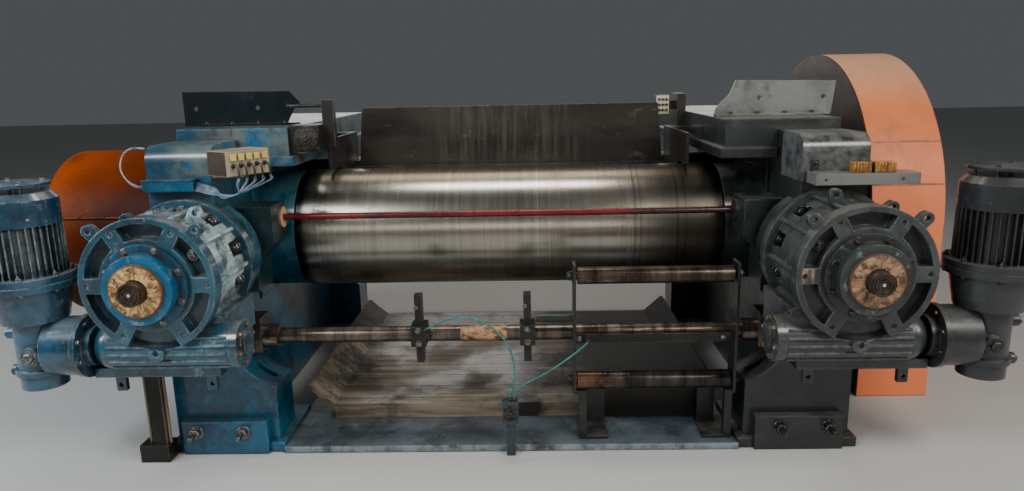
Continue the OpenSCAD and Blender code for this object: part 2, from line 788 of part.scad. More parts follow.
module right_guard_body() {
    x0 = frame_out + right_guard_gap;
    difference() {
        union() {
            slab_x(x0, x0 + right_guard_w) {
                translate([axis_y, roll_axis_z]) circle(r = right_guard_r);
                translate([axis_y - right_guard_r, 0]) square([2 * right_guard_r, roll_axis_z]);
            }
            block([frame_out, 0, foot_h], [x0 + 1, 2 * axis_y, foot_h + guard_bracket_h]);
        }
        rod_x(x0 - 1, x0 + socket_depth, shaft_d / 2 + socket_clear, axis_y, roll_axis_z);
    }
}

module foot_plate_body() {
    mid = (foot_in + frame_out) / 2;
    block([mid - foot_plate_w / 2, -frame_front - foot_plate_t, 0],
        [mid + foot_plate_w / 2, -frame_front - foot_flange_out, foot_plate_h]);
    block([mid - foot_plate_w / 2, -frame_front - foot_flange_out - 1, foot_flange_t],
        [mid + foot_plate_w / 2, -frame_front, foot_plate_h]);
}

// Bracket plate on the cap from the given outline above the cap, X measured from the cap's inner end
module top_bracket_body(outline) {
    y = -cap_front + 280;
    difference() {
        slab_y(y, y + bracket_plate_t) translate([cap_in, cap_top_z]) polygon(outline);
        for (x = [cap_in + 229, frame_out + 20])
            rod_y(y - 1, y + bracket_plate_t + 1, 12, x, cap_top_z + bracket_hole_z);
    }
    block([cap_in + 20, y - 40, cap_top_z], [frame_out, y + 1, cap_top_z + 10]);
}

module stock_body() {
    slab_y(stock_y, stock_y + stock_t) polygon([
        [-stock_w / 2, stock_z], [stock_w / 2, stock_z],
        [(stock_w - stock_taper) / 2, stock_z + stock_h], [-(stock_w - stock_taper) / 2, stock_z + stock_h]
    ]);
    block([-guide_x, stock_y + stock_t - strip_w, stock_z - stock_t],
        [guide_x, stock_y + stock_t, stock_z + 1]);
    block([-guide_x, stock_y + stock_t - 1, stock_z - stock_t],
        [guide_x, stock_y + 2 * stock_t, stock_z + strip_w / 2]);
}

// Guide plate that stands in the valley between the rolls, and its bearer on the cap's end
module guide_plate() {
    slab_x(guide_x, guide_x + guide_t) difference() {
        translate([-guide_front, roll_axis_z + guide_low])
            square([guide_front + guide_back, guide_rise - guide_low]);
        for (y = [-axis_y, -axis_y - carriage_travel, axis_y])
            translate([y, roll_axis_z]) circle(r = roll_r + guide_gap);
        translate([-guide_front - 1, roll_axis_z]) square([guide_front + 1 - axis_y, roll_r + guide_gap]);
    }
    block([guide_x + guide_t - 1, stock_y - 60, cap_seat_z + ledge_t + 10],
        [cap_in, stock_y + 60, roll_axis_z + guide_rise]);
}

module left_guide_body() {
    guide_plate();
    block([clamp_in, -cap_front + 20, cap_seat_z + ledge_t + 15],
        [cap_in, -cap_front + 165, cap_top_z + 8]);
    block([guide_x, -cap_front + 160, cap_seat_z + ledge_t + 15],
        [guide_x + guide_t, -guide_front + 1, roll_axis_z + guide_rise]);
    rod_y(-cap_front - 5, -cap_front + 21, 57, cap_in - 85, cap_top_z - 52);
    block([clamp_in - 55, -cap_front + 100, cap_seat_z + ledge_t + 35],
        [clamp_in + 1, -cap_front + 145, cap_top_z + 120]);
    rod_x(clamp_in - 10, cap_in + 30, 9, -cap_front + 122, cap_top_z + 95);
}

module right_guide_body() {
    guide_plate();
    block([cap_in - 50, stock_y + 59, cap_seat_z + ledge_t + 15], [cap_in, stock_y + 240, cap_top_z + 100]);
    block([cap_in - 164, stock_y + 100, cap_top_z - 20], [cap_in - 86, stock_y + 150, cap_top_z + 92]);
    block([cap_in - 87, stock_y + 115, cap_top_z + 10], [cap_in - 49, stock_y + 135, cap_top_z + 60]);
}

module bar_bracket_body() {
    slab_y(-safety_y - 140, -safety_y + 50) polygon([
        [bracket_in, safety_z + 70], [bracket_in, safety_z - 100],
        [web_in - bracket_w / 2, safety_z - 190], [web_in - bracket_w / 2, safety_z - 330],
        [web_in, safety_z - 330], [web_in, safety_z + 70]
    ]);
    rod_x(bracket_in - end_disc_t, bracket_in + 1, end_disc_r, -safety_y, safety_z);
}

// End bracket of the knife bar, cut back over the scoop of the foot
module knife_bracket() {
    rod_x(foot_in, foot_in + knife_collar_len, knife_collar_r, -knife_y, knife_z);
    difference() {
        block([foot_in + knife_collar_len - 1, -knife_y - 60, knife_z - 60],
            [web_in, -knife_y + 60, knife_z + 100]);
        slab_y(-knife_y - 61, -knife_y + 61) difference() {
            translate([foot_in, 0]) square([web_in - foot_in + 1, foot_h + foot_fillet]);
            translate([web_in - foot_fillet, foot_h + foot_fillet]) circle(r = foot_fillet - slide_fit);
        }
    }
}

module cheek_body(x, leg_x, post_x, turn) {
    difference() {
        block([x, -takeoff_y - cheek_w / 2, cheek_low], [x + cheek_t, -takeoff_y + cheek_w / 2, cheek_h]);
        for (z = [upper_z, lower_z])
            rod_x(x - 1, x + cheek_t + 1, spindle_r + running_fit, -takeoff_y, z);
    }
    block([leg_x, -takeoff_y - 20, bed_t], [leg_x + leg_w, -takeoff_y + 20, cheek_low]);
    block([min(x, leg_x), -takeoff_y - 20, cheek_low - 15],
        [max(x + cheek_t, leg_x + leg_w), -takeoff_y + 20, cheek_low + 1]);
    block([post_x, -takeoff_y + 120, bed_t], [post_x + stub_w, -takeoff_y + 190, stub_h]);
    block([min(leg_x, post_x), -takeoff_y - 20, bed_t],
        [max(leg_x + leg_w, post_x + stub_w), -takeoff_y + 190, bed_t + 12]);
}

module takeoff_roller(r, z) {
    rod_x(cheek_left_x + cheek_t + roller_gap, cheek_right_x - roller_gap, r, -takeoff_y, z);
    rod_x(cheek_left_x - 10, cheek_right_x + cheek_t + 10, spindle_r, -takeoff_y, z);
}

function unit(v) = v / norm(v);
function heading(route, i) = unit(route[min(i + 1, len(route) - 1)] - route[max(i - 1, 0)]);

// One ring of points around a hose at point i of its route
function ring(route, i, sides) =
    let (t = heading(route, i), u = unit(cross(t, [0, 1, 0.2])), v = cross(u, t))
    [for (k = [0 : sides - 1]) route[i] + hose_d / 2 * (u * cos(k * 360 / sides) + v * sin(k * 360 / sides))];

// Round hose that follows a route
module hose(route, sides = 8) {
    n = len(route);
    points = [for (i = [0 : n - 1]) each ring(route, i, sides)];
    faces = concat(
        [[for (k = [0 : sides - 1]) k]],
        [for (i = [0 : n - 2]) for (k = [0 : sides - 1])
            let (a = i * sides + k, b = i * sides + (k + 1) % sides)
            each [[a, a + sides, b], [b, a + sides, b + sides]]],
        [[for (k = [sides - 1 : -1 : 0]) (n - 1) * sides + k]]
    );
    polyhedron(points, faces);
}

module bedplate() color("#3a4348")
    block([-foot_in + foot_flange_out, -bed_front, 0], [foot_in - foot_flange_out, frame_back, bed_t]);
module left_frame() color("#1f5c78") left() frame_body();
module right_frame() color("#202a2c") frame_body();
module left_cap() color("#2b6a7c") left() cap_body();
module right_cap() color("#252d30") cap_body();
module left_rear_housing() color("#1f5c78") left() housing_body(axis_y, housing_gap / 2, window_reach);
module right_rear_housing() color("#202a2c") housing_body(axis_y, housing_gap / 2, window_reach);
module left_front_housing() color("#2a77a0") left()
    housing_body(-axis_y, -axis_y - housing_half, -housing_gap / 2);
module right_front_housing() color("#202a2c")
    housing_body(-axis_y, -axis_y - housing_half, -housing_gap / 2);
module front_roll() color("#8b8880")
    roll_body(-axis_y, frame_out + left_guard_gap + socket_depth - 20, frame_out + end_cover_t);
module rear_roll() color("#7b7870")
    roll_body(axis_y, frame_out + left_guard_gap + socket_depth - 20,
        frame_out + right_guard_gap + socket_depth - 20);
module left_adjuster() color("#2a6d8c") left() adjuster_body(120);
module right_adjuster() color("#28363a") adjuster_body(105);
module left_bearing_cover() color("#2a6d8c") left() cover_body();
module right_bearing_cover() color("#28363a") cover_body();
module left_adjusting_screw() color("#2c2824") left() screw_body();
module right_adjusting_screw() color("#2c2824") screw_body();
module left_gearbox() color("#1d4c6c") left() gearbox_body();
module right_gearbox() color("#1c2326") gearbox_body();
module left_motor() color("#1d4c6c") left() motor_body();
module right_motor() color("#1c2326") motor_body();
module left_gear_guard() color("#c4541c") left() left_guard_body();
module right_gear_guard() color("#c47456") right_guard_body();
module left_foot_plate() color("#1f5c78") left() foot_plate_body();
module right_foot_plate() color("#202a2c") foot_plate_body();
module left_top_bracket() color("#1a2c3c") left() top_bracket_body(
    [[90, 0], [left_plate_w, 0], [left_plate_w, left_plate_h], [65, left_plate_h - 5], [15, 105], [50, 75]]);
module right_top_bracket() color("#7b8a94") top_bracket_body(
    [[10, 0], [right_plate_w - 17, 0], [right_plate_w, right_plate_h - 10], [113, right_plate_h],
        [85, 105], [20, 40]]);
module stock_plate() color("#3a332d") stock_body();
module left_stock_guide() color("#2c2c2c") left() left_guide_body();
module right_stock_guide() color("#2c2c2c") right_guide_body();
module safety_bar() color("#a02038")
    rod_x(-bracket_in + end_disc_t, bracket_in - end_disc_t, safety_r, -safety_y, safety_z);
module left_bar_bracket() color("#24453f") left() bar_bracket_body();
module right_bar_bracket() color("#202a2c") bar_bracket_body();
module knife_bar() color("#4a3a34") {
    rod_x(-foot_in - 1, foot_in + 1, knife_r, -knife_y, knife_z);
    knife_bracket();
    left() knife_bracket();
}
module knife_clamps() color("#2b2a28")
    for (x = [clamp_left_x, clamp_right_x])
        difference() {
            union() {
                block([x - clamp_w / 2, -knife_y - 55, knife_z - 45],
                    [x + clamp_w / 2, -knife_y + 50, knife_z + 50]);
                block([x - clamp_w / 4, -knife_y - 20, knife_z - clamp_down],
                    [x + clamp_w / 4, -knife_y + 25, knife_z + clamp_up]);
            }
            rod_x(x - clamp_w, x + clamp_w, knife_r, -knife_y, knife_z);
        }
module left_cheek() color("#24332f") {
    cheek_body(cheek_left_x, cheek_left_x + 28, cheek_left_x + 76);
    difference() {
        rod_x(cheek_left_x - tube_len, cheek_left_x + 1, 18, -takeoff_y - 10, tie_z + tube_rise);
        rod_x(cheek_left_x - tube_len - 1, cheek_left_x - 60, 13, -takeoff_y - 10, tie_z + tube_rise);
    }
}
module right_cheek() color("#24332f")
    cheek_body(cheek_right_x, cheek_right_x - 26, cheek_right_x - 118);
module takeoff_tie_bar() color("#4b4b48") {
    block([cheek_left_x + cheek_t, -takeoff_y - tie_t / 2, tie_z - tie_h / 2],
        [cheek_right_x, -takeoff_y + tie_t / 2, tie_z + tie_h / 2]);
    block([cheek_left_x + 54, -takeoff_y - 20, tie_z - 12], [cheek_left_x + 78, -takeoff_y, tie_z + 12]);
}
module upper_takeoff_roller() color("#5a4a42") takeoff_roller(upper_r, upper_z);
module lower_takeoff_roller() color("#6a4a3c") takeoff_roller(lower_r, lower_z);

// Sloping side board of the pan as an X-Z outline
module pan_side_outline() {
    polygon([
        [pan_w / 2 - 1, pan_z - pan_t], [pan_w / 2 + pan_side_out, pan_z + pan_side_h - pan_side_t],
        [pan_w / 2 + pan_side_out, pan_z + pan_side_h],
        [pan_w / 2 + pan_side_out - pan_side_t, pan_z + pan_side_h],
        [pan_w / 2 - 1, pan_z]
    ]);
}

module drip_pan() color("#7a6c58") {
    block([-pan_w / 2, -pan_front, pan_z - pan_t], [pan_w / 2, -pan_front + pan_len, pan_z]);
    for (y = [-pan_front, -pan_front + pan_len / 2, -pan_front + pan_len - 2 * pan_side_t])
        block([-pan_w / 2, y, bed_t], [pan_w / 2, y + 2 * pan_side_t, pan_z - pan_t + 1]);
    slab_y(-pan_front, -pan_front + pan_len) pan_side_outline();
    left() slab_y(-pan_front, -pan_front + pan_len) pan_side_outline();
    block([cheek_left_x + 165, -pan_front - 10, bed_t],
        [cheek_right_x - 95, -pan_front + 1, bed_t + spill_h]);
}
module support_post() color("#26221f") left() {
    block([frame_out - 5, -frame_front - 120, 0], [frame_out + 125, -frame_front - foot_flange_out - 5, 80]);
    block([frame_out + 5, -frame_front - 105, 79], [frame_out + 65, -frame_front - 65, lug_plate_z]);
    for (x = [frame_out - 2, frame_out + 82])
        rod_z(x, -frame_front - 85, 8, 79, lug_plate_z);
    block([frame_out - 2, -frame_front - 93, lug_plate_z - 30],
        [frame_out + 82, -frame_front - 77, lug_plate_z - 14]);
}

// A round bar along Z
module rod_z(x, y, r, z0, z1) {
    translate([x, y, z0]) cylinder(r = r, h = z1 - z0);
}

module lubricator() color("#b8a880") left() {
    translate([web_in, -frame_front, cap_seat_z]) rotate([0, 0, 85 - lube_turn])
        translate([-lube_gap - lube_w, -lube_ahead, 0]) cube([lube_w, lube_len, lube_h]);
    block([web_in - bearer_reach, -frame_front + 5, cap_seat_z - 13],
        [web_in, -frame_front + 85, cap_seat_z + 1]);
}
module lamp_shelf() color("#5a6066")
    block([web_in + 20, -frame_front - shelf_depth, cap_seat_z - 74],
        [web_in + 20 + shelf_w, -frame_front, cap_seat_z - 74 + shelf_h]);
module valve_post() color("#3c5c78") {
    block([valve_x - 20, -bed_front - 40, 0], [valve_x + 20, -bed_front, valve_top - 98]);
    block([valve_x - valve_w / 2, -bed_front - 60, valve_top - 99],
        [valve_x + valve_w / 2, -bed_front, valve_top]);
}
module clamp_hose() color("#2f7f74") hose(CLAMP_HOSE);
module cheek_hose() color("#2f7f74") hose(CHEEK_HOSE);

bedplate();
left_frame();
right_frame();
left_cap();
right_cap();
left_rear_housing();
right_rear_housing();
left_front_housing();
right_front_housing();
front_roll();
rear_roll();
left_adjuster();
right_adjuster();
left_bearing_cover();
right_bearing_cover();
left_adjusting_screw();
right_adjusting_screw();
left_gearbox();
right_gearbox();
left_motor();
right_motor();
left_gear_guard();
right_gear_guard();
left_foot_plate();
right_foot_plate();
left_top_bracket();
right_top_bracket();
stock_plate();
left_stock_guide();
right_stock_guide();
safety_bar();
left_bar_bracket();
right_bar_bracket();
knife_bar();
knife_clamps();
left_cheek();
right_cheek();
takeoff_tie_bar();
upper_takeoff_roller();
lower_takeoff_roller();
drip_pan();
support_post();
lubricator();
lamp_shelf();
valve_post();
clamp_hose();
cheek_hose();
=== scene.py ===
"""Open two-roll mill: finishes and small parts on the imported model, in metres, in the model's own frame."""
import math
import random

import bmesh
import bpy
from mathutils import Matrix, Vector


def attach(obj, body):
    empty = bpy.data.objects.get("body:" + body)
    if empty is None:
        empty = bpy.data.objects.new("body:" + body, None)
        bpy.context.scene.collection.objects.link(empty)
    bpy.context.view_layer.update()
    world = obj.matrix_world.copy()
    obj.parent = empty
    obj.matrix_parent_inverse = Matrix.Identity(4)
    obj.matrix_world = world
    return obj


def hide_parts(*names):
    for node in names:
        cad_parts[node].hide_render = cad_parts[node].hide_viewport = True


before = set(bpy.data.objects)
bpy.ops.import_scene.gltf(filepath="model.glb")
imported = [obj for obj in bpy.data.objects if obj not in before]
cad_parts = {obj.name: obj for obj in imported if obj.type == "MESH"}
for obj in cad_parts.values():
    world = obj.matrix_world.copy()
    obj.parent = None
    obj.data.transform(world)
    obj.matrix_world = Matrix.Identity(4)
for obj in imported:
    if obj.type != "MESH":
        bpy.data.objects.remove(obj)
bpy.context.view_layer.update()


# --- Photograph's view ---
# The operator's side, seen from standing height, a little to the right of the rolls' middle.
# The camera is turned slightly to the left and looks down on the rolls.

PHOTO_WIDTH = 1024


def add_object(name, data):
    made = bpy.data.objects.new(name, data)
    bpy.context.scene.collection.objects.link(made)
    return made


def aim_camera(place, yaw, pitch, roll, focal_px):
    """The angles are in radians, the focal length in the photograph's pixels."""
    camera = add_object("photo_camera", bpy.data.cameras.new("photo_camera"))
    camera.matrix_world = (Matrix.Translation(place) @ Matrix.Rotation(yaw, 4, "Z")
                           @ Matrix.Rotation(math.pi / 2 - pitch, 4, "X") @ Matrix.Rotation(roll, 4, "Z"))
    camera.data.sensor_fit = "HORIZONTAL"
    camera.data.lens = focal_px / PHOTO_WIDTH * camera.data.sensor_width
    bpy.context.scene.camera = camera


aim_camera((0.1013, -4.1753, 1.6484), yaw=0.0237, pitch=0.2208, roll=-0.0207, focal_px=741.16)


# --- Air hoses ---
# Two polyurethane air hoses of 9 mm go from the valve box on the deck to the left knife clamp and to the
# take-off unit. They are held only at their push-in fittings and sag between them.

HOSE_D = 0.009
CLAMP_ROUTE = [
    (-0.375, -0.985, 0.545), (-0.355, -0.988, 0.556), (-0.330, -0.992, 0.572), (-0.300, -0.996, 0.588),
    (-0.265, -1.000, 0.601), (-0.225, -1.004, 0.608), (-0.185, -1.008, 0.608), (-0.145, -1.013, 0.600),
    (-0.105, -1.019, 0.585), (-0.070, -1.026, 0.565), (-0.038, -1.035, 0.538), (-0.012, -1.045, 0.508),
    (0.008, -1.056, 0.474), (0.020, -1.068, 0.438), (0.026, -1.080, 0.400), (0.026, -1.092, 0.364),
    (0.022, -1.104, 0.332), (0.014, -1.114, 0.303), (0.006, -1.121, 0.280), (0.006, -1.121, 0.258),
]
CHEEK_ROUTE = [
    (0.025, -1.122, 0.258), (0.025, -1.122, 0.276), (0.031, -1.121, 0.295), (0.045, -1.120, 0.314),
    (0.066, -1.117, 0.330), (0.095, -1.113, 0.345), (0.130, -1.108, 0.361), (0.168, -1.103, 0.380),
    (0.205, -1.099, 0.401), (0.240, -1.096, 0.424), (0.272, -1.093, 0.447), (0.302, -1.089, 0.468),
    (0.328, -1.081, 0.487), (0.348, -1.072, 0.502), (0.356, -1.058, 0.508), (0.356, -1.040, 0.508),
]


class Finish:
    """One node material in the making: each method adds nodes and gives their output."""

    def __init__(self, name, metallic=0.0, coat=0.0, gloss=0.5):
        self.material = bpy.data.materials.new(name)
        self.material.use_nodes = True
        self.tree = self.material.node_tree
        self.shader = self.tree.nodes["Principled BSDF"]
        self.feed(self.shader, {"Metallic": metallic, "Coat Weight": coat, "Coat Roughness": 0.12,
                                "Specular IOR Level": gloss})
        self.place = self.add("TexCoord").outputs["Object"]
        self.soft = {}

    def add(self, kind, inputs=(), **settings):
        node = self.tree.nodes.new("ShaderNode" + kind)
        for key, value in settings.items():
            setattr(node, key, value)
        self.feed(node, inputs)
        return node

    def feed(self, node, inputs):
        """Links or sets the inputs of a node."""
        for key, value in dict(inputs).items():
            socket = node.inputs[key]
            if isinstance(value, bpy.types.NodeSocket):
                self.tree.links.new(value, socket)
            else:
                socket.default_value = (*value, 1) if socket.type == "RGBA" else value

    def op(self, operation, *values):
        return self.add("Math", dict(enumerate(values)), operation=operation).outputs[0]

    def times(self, a, b):
        return self.op("MULTIPLY", a, b)

    def less(self, a, b):
        return self.op("SUBTRACT", a, b)

    def total(self, base, *parts):
        """The base and each part's value times its weight, added up."""
        for value, weight in parts:
            base = self.op("MULTIPLY_ADD", value, weight, base)
        return base

    def noise(self, scale, detail=4.0, rough=0.6, stretch=(1, 1, 1), warp=0.0, at=None):
        place = at or self.place
        if stretch != (1, 1, 1):
            place = self.add("Mapping", {"Vector": place, "Scale": stretch}).outputs[0]
        return self.add("TexNoise", {"Vector": place, "Scale": scale, "Detail": detail, "Roughness": rough,
                                     "Distortion": warp}).outputs["Fac"]

    def step(self, value, low, high):
        """A soft step: 0 below low, 1 above high."""
        return self.add("MapRange", {"Value": value, "From Min": low, "From Max": high},
                        interpolation_type="SMOOTHSTEP").outputs["Result"]

    def blots(self, low, high, *noise, **settings):
        """A soft step over a noise, whose settings follow."""
        return self.step(self.noise(*noise, **settings), low, high)

    def mix(self, amount, a, b):
        return self.add("Mix", {0: amount, 6: a, 7: b}, data_type="RGBA").outputs[2]

    def over(self, base, colour, mask, amount=1.0):
        """Lays a colour over the base, as far as the mask and the amount say."""
        return self.mix(mask if amount == 1.0 else self.times(mask, amount), base, colour)

    def axis(self, letter, of=None):
        return self.add("SeparateXYZ", {0: of or self.place}).outputs[letter]

    def band(self, letter, low, high, soft=0.006):
        """1 between two values of one coordinate."""
        along = self.axis(letter)
        return self.times(self.step(along, low, low + soft), self.step(along, high, high - soft))

    def away(self, letter, centre, other, middle):
        """The distance from a line along the third axis."""
        a, b = self.less(self.axis(letter), centre), self.less(self.axis(other), middle)
        return self.op("SQRT", self.total(self.times(a, a), (b, b)))

    def upward(self, low=0.55, high=0.95):
        """1 on faces that look up."""
        return self.step(self.axis("Z", self.add("NewGeometry").outputs["Normal"]), low, high)

    def rounded(self, radius):
        if radius not in self.soft:
            self.soft[radius] = self.add("Bevel", {"Radius": radius}, samples=3).outputs[0]
        return self.soft[radius]

    def edges(self, radius, low=0.02, high=0.16):
        """1 along edges and corners, over about the given width."""
        flat = self.add("NewGeometry").outputs["Normal"]
        dot = self.add("VectorMath", {0: flat, 1: self.rounded(radius)}, operation="DOT_PRODUCT")
        return self.step(self.less(1.0, dot.outputs["Value"]), low, high)

    def hollows(self, reach, low=0.15, high=0.75):
        """1 deep in corners and pockets."""
        node = self.add("AmbientOcclusion", {"Distance": reach}, samples=3)
        return self.step(self.less(1.0, node.outputs["AO"]), low, high)

    def finish(self, colour, rough, height=None, depth=0.002, strength=0.5, radius=0.0):
        normal = {"Normal": self.rounded(radius)} if radius else {}
        if height is not None:
            bump = {"Strength": strength, "Distance": depth, "Height": height, **normal}
            normal = {"Normal": self.add("Bump", bump).outputs[0]}
        self.feed(self.shader, {"Base Color": colour, "Roughness": rough, **normal})
        return self.material


def hose_finish():
    f = Finish("hose_finish")
    cloud = f.noise(30, 5)
    colour = f.mix(f.step(cloud, 0.4, 0.7), (0.012, 0.13, 0.115), (0.03, 0.21, 0.18))
    colour = f.over(colour, (0.03, 0.025, 0.02), f.blots(0.52, 0.66, 70, 6), 0.8)
    return f.finish(colour, f.step(cloud, -0.3, 1.6), f.noise(220, 3), 0.0006)


def smooth_route(points, steps=6):
    """Points on one smooth curve through all the given ones."""
    points = [Vector(p) for p in points]
    ends = [points[0] * 2 - points[1]] + points + [points[-1] * 2 - points[-2]]
    out = []
    for a, b, c, d in zip(ends, ends[1:], ends[2:], ends[3:]):
        for i in range(steps):
            t = i / steps
            out.append(0.5 * (2 * b + (c - a) * t + (2 * a - 5 * b + 4 * c - d) * t * t
                              + (3 * b - a - 3 * c + d) * t * t * t))
    return out + [points[-1]]


def lay_hose(name, node, route):
    points = smooth_route(route)
    curve = bpy.data.curves.new(name, "CURVE")
    curve.dimensions = "3D"
    curve.bevel_depth = HOSE_D / 2
    curve.bevel_resolution = 4
    curve.use_fill_caps = True
    spline = curve.splines.new("POLY")
    spline.points.add(len(points) - 1)
    for slot, point in zip(spline.points, points):
        slot.co = (*point, 1)
    curve.materials.append(HOSE_FINISH)
    piece = add_object(name, curve)
    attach(piece, "root")
    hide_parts(node)


HOSE_FINISH = hose_finish()
lay_hose("clamp_air_hose", "clamp_hose", CLAMP_ROUTE)
lay_hose("cheek_air_hose", "cheek_hose", CHEEK_ROUTE)


# --- Floor and light ---
# A plain pale floor and a plain studio with soft lamps in front, above, behind and at both ends.
# The lamps along the rolls draw the long bright lines on the ground steel.

FLOOR_REACH, FLOOR_Z = 30, -0.002
LAMPS = [  # name, place, target, size, power, colour
    ("roll_lamp", (-0.10, -0.42, 3.7), (-0.10, -0.30, 1.0), (1.6, 0.50), 32, (1.0, 0.97, 0.92)),
    ("warm_upper_lamp", (0.0, 1.5, 4.4), (0, -0.4, 1.0), (3.6, 1.2), 24, (1.0, 0.84, 0.64)),
    ("front_left_lamp", (-3.0, -4.4, 4.2), (-0.2, -0.9, 0.7), (1.6, 1.4), 165, (0.95, 0.98, 1.0)),
    ("front_right_lamp", (3.0, -4.4, 4.2), (-0.2, -0.9, 0.7), (1.6, 1.4), 165, (1.0, 0.96, 0.88)),
    ("low_front_lamp", (0.0, -9.0, 2.0), (0, -0.6, 0.9), (9.0, 0.8), 62, (1.0, 0.96, 0.88)),
    ("back_lamp", (0.0, 4.8, 2.5), (0, 0.0, 0.7), (6.0, 2.0), 55, (1.0, 0.98, 0.95)),
    ("left_lamp", (-5.2, -2.6, 3.2), (-1.3, -1.0, 0.9), (1.6, 2.0), 170, (0.86, 0.94, 1.0)),
    ("right_lamp", (5.2, -3.2, 3.2), (1.4, -1.0, 0.9), (1.6, 2.0), 110, (1.0, 0.97, 0.93)),
]


def lay_floor():
    mesh = bpy.data.meshes.new("studio_floor")
    corners = [(FLOOR_REACH * x, FLOOR_REACH * y, FLOOR_Z) for x, y in ((-1, -1), (1, -1), (1, 1), (-1, 1))]
    mesh.from_pydata(corners, [], [(0, 1, 2, 3)])
    f = Finish("studio_floor")
    mesh.materials.append(f.finish(f.mix(f.noise(0.6, 3), (0.4, 0.4, 0.39), (0.46, 0.455, 0.44)), 0.75))
    add_object("studio_floor", mesh)


def light_studio():
    world = bpy.data.worlds.new("studio")
    bpy.context.scene.world = world
    world.use_nodes = True
    background = world.node_tree.nodes["Background"]
    background.inputs["Color"].default_value = (0.9, 0.95, 1.0, 1)
    background.inputs["Strength"].default_value = 0.085
    for name, place, target, size, power, colour in LAMPS:
        lamp = bpy.data.lights.new(name, "AREA")
        lamp.shape = "RECTANGLE"
        lamp.size, lamp.size_y = size
        lamp.energy = power
        lamp.color = colour
        holder = add_object(name, lamp)
        holder.location = place
        holder.rotation_euler = (Vector(target) - Vector(place)).to_track_quat("-Z", "Y").to_euler()
        holder.visible_camera = False


lay_floor()
light_studio()


# --- Side stands ---
# Cast-iron side frames on foot flanges, with bolted caps and with bearing housings that slide in their
# windows. The left stand is teal-blue gloss paint, the right one black-green and laid darker still as painted
# shade, both greasy and rubbed. Their corners and pockets are laid near black as grease and painted shade,
# and outboard of the left stand's outer face the paint is laid near black as painted shade.

# Near black: the colour of grease, and also of the painted shade laid in hollows.
GREASE_AND_SHADE = (0.012, 0.011, 0.009)


def worn_paint(name, deep, light, bare, wear=0.5, grease=0.5, dust=(0.1, 0.09, 0.075), dusty=0.6,
               edge=0.01, shine=0.3, coat=0.4, gloss=0.5, patches=()):
    """Old paint: deep and light are its tones, bare the tone of scuffs, edge the width of a rubbed edge."""
    f = Finish(name, coat=coat, gloss=gloss)
    fine = f.noise(34, 7, 0.68)
    paint = f.mix(f.blots(0.4, 0.62, 2.4, 9, 0.74), deep, light)
    for mask, colour, amount in patches:
        paint = f.over(paint, colour, f.times(mask(f), f.blots(0.34, 0.58, 10, 6, 0.7)), amount)
    paint = f.over(paint, bare, f.blots(0.55, 0.72, 7, 6, 0.7, warp=0.6), 0.22)
    runs = f.blots(0.66 - 0.16 * grease, 0.8 - 0.16 * grease, 8, 6, 0.66, stretch=(1, 1, 0.13))
    smears = f.blots(0.6 - 0.12 * grease, 0.72 - 0.12 * grease, 3.4, 7, 0.72)
    paint = f.over(paint, GREASE_AND_SHADE, f.op("MAXIMUM", runs, smears), 0.86)
    scuffs = f.blots(0.68 - 0.1 * wear, 0.76 - 0.06 * wear, 15, 9, 0.78, stretch=(1, 1, 0.6))
    paint = f.over(paint, bare, scuffs, 0.2 + 0.5 * wear)
    paint = f.over(paint, bare, f.times(f.edges(edge), f.step(fine, 0.42, 0.6)), 0.35 + 0.6 * wear)
    # Corners and pockets, found by their occlusion, are laid near black: grease gathered there, and painted
    # shade.
    paint = f.over(paint, GREASE_AND_SHADE, f.times(f.hollows(0.05), f.blots(0.25, 0.6, 11, 5)), 0.88)
    settled = f.times(f.upward(), f.blots(0.36, 0.62, 5, 8, 0.72))
    paint = f.over(paint, dust, settled, dusty)
    rough = f.total(shine - 0.1, (f.noise(12, 5), 0.34), (settled, 0.22), (runs, -0.1))
    height = f.total(0.0, (fine, 0.5), (f.noise(9, 4), 1.2), (scuffs, -0.3))
    return f.finish(paint, rough, height, 0.0035, 0.45, radius=edge)


def dress(finish, *nodes):
    for node in nodes:
        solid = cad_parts[node]
        solid.data.materials.clear()
        solid.data.materials.append(finish)


def left_upper_side(f):
    """The left stand above its foot, next to the rolls."""
    return f.times(f.band("X", -1.3, -1.02, 0.08), f.step(f.axis("Z"), 0.75, 0.95))


def left_cap(f):
    return f.times(f.band("X", -1.46, -0.9, 0.1), f.band("Z", 1.262, 1.5, 0.02))


# Painted shade: the parts outboard of the left stand's outer face are laid near black.
def shaded_left_outer_side(f):
    return f.step(f.axis("X"), -1.533, -1.537)


def right_shoulder(f):
    return f.times(f.band("Z", 1.2, 1.45), f.band("Y", -1.06, -0.79))


STAND_BLUE = worn_paint(
    "stand_blue", (0.0015, 0.026, 0.05), (0.004, 0.09, 0.172), (0.11, 0.29, 0.38), wear=0.4, grease=0.4,
    dust=(0.05, 0.085, 0.09), dusty=0.5, coat=0.45,
    patches=[(left_upper_side, (0.018, 0.105, 0.13), 0.8), (left_cap, (0.11, 0.12, 0.098), 0.8),
             (shaded_left_outer_side, (0.007, 0.008, 0.009), 1.0)])
# The right stand's black-green paint, laid darker still as painted shade.
SHADED_STAND_BLACK = worn_paint(
    "stand_black", (0.006, 0.009, 0.009), (0.015, 0.021, 0.021), (0.11, 0.12, 0.115), wear=0.35,
    dust=(0.13, 0.13, 0.115), coat=0.35, patches=[(right_shoulder, (0.105, 0.11, 0.11), 0.85)])
dress(STAND_BLUE, "left_frame", "left_cap", "left_front_housing", "left_rear_housing", "left_foot_plate")
dress(SHADED_STAND_BLACK, "right_frame", "right_cap", "right_front_housing", "right_rear_housing",
      "right_foot_plate", "right_bar_bracket")


# --- Rolls ---
# Two ground chilled-iron rolls that turn in the stands' bearing housings, worn bright in the middle, with
# brown rubber stain towards the ends. Fine rings run round them, and a few deeper score lines.

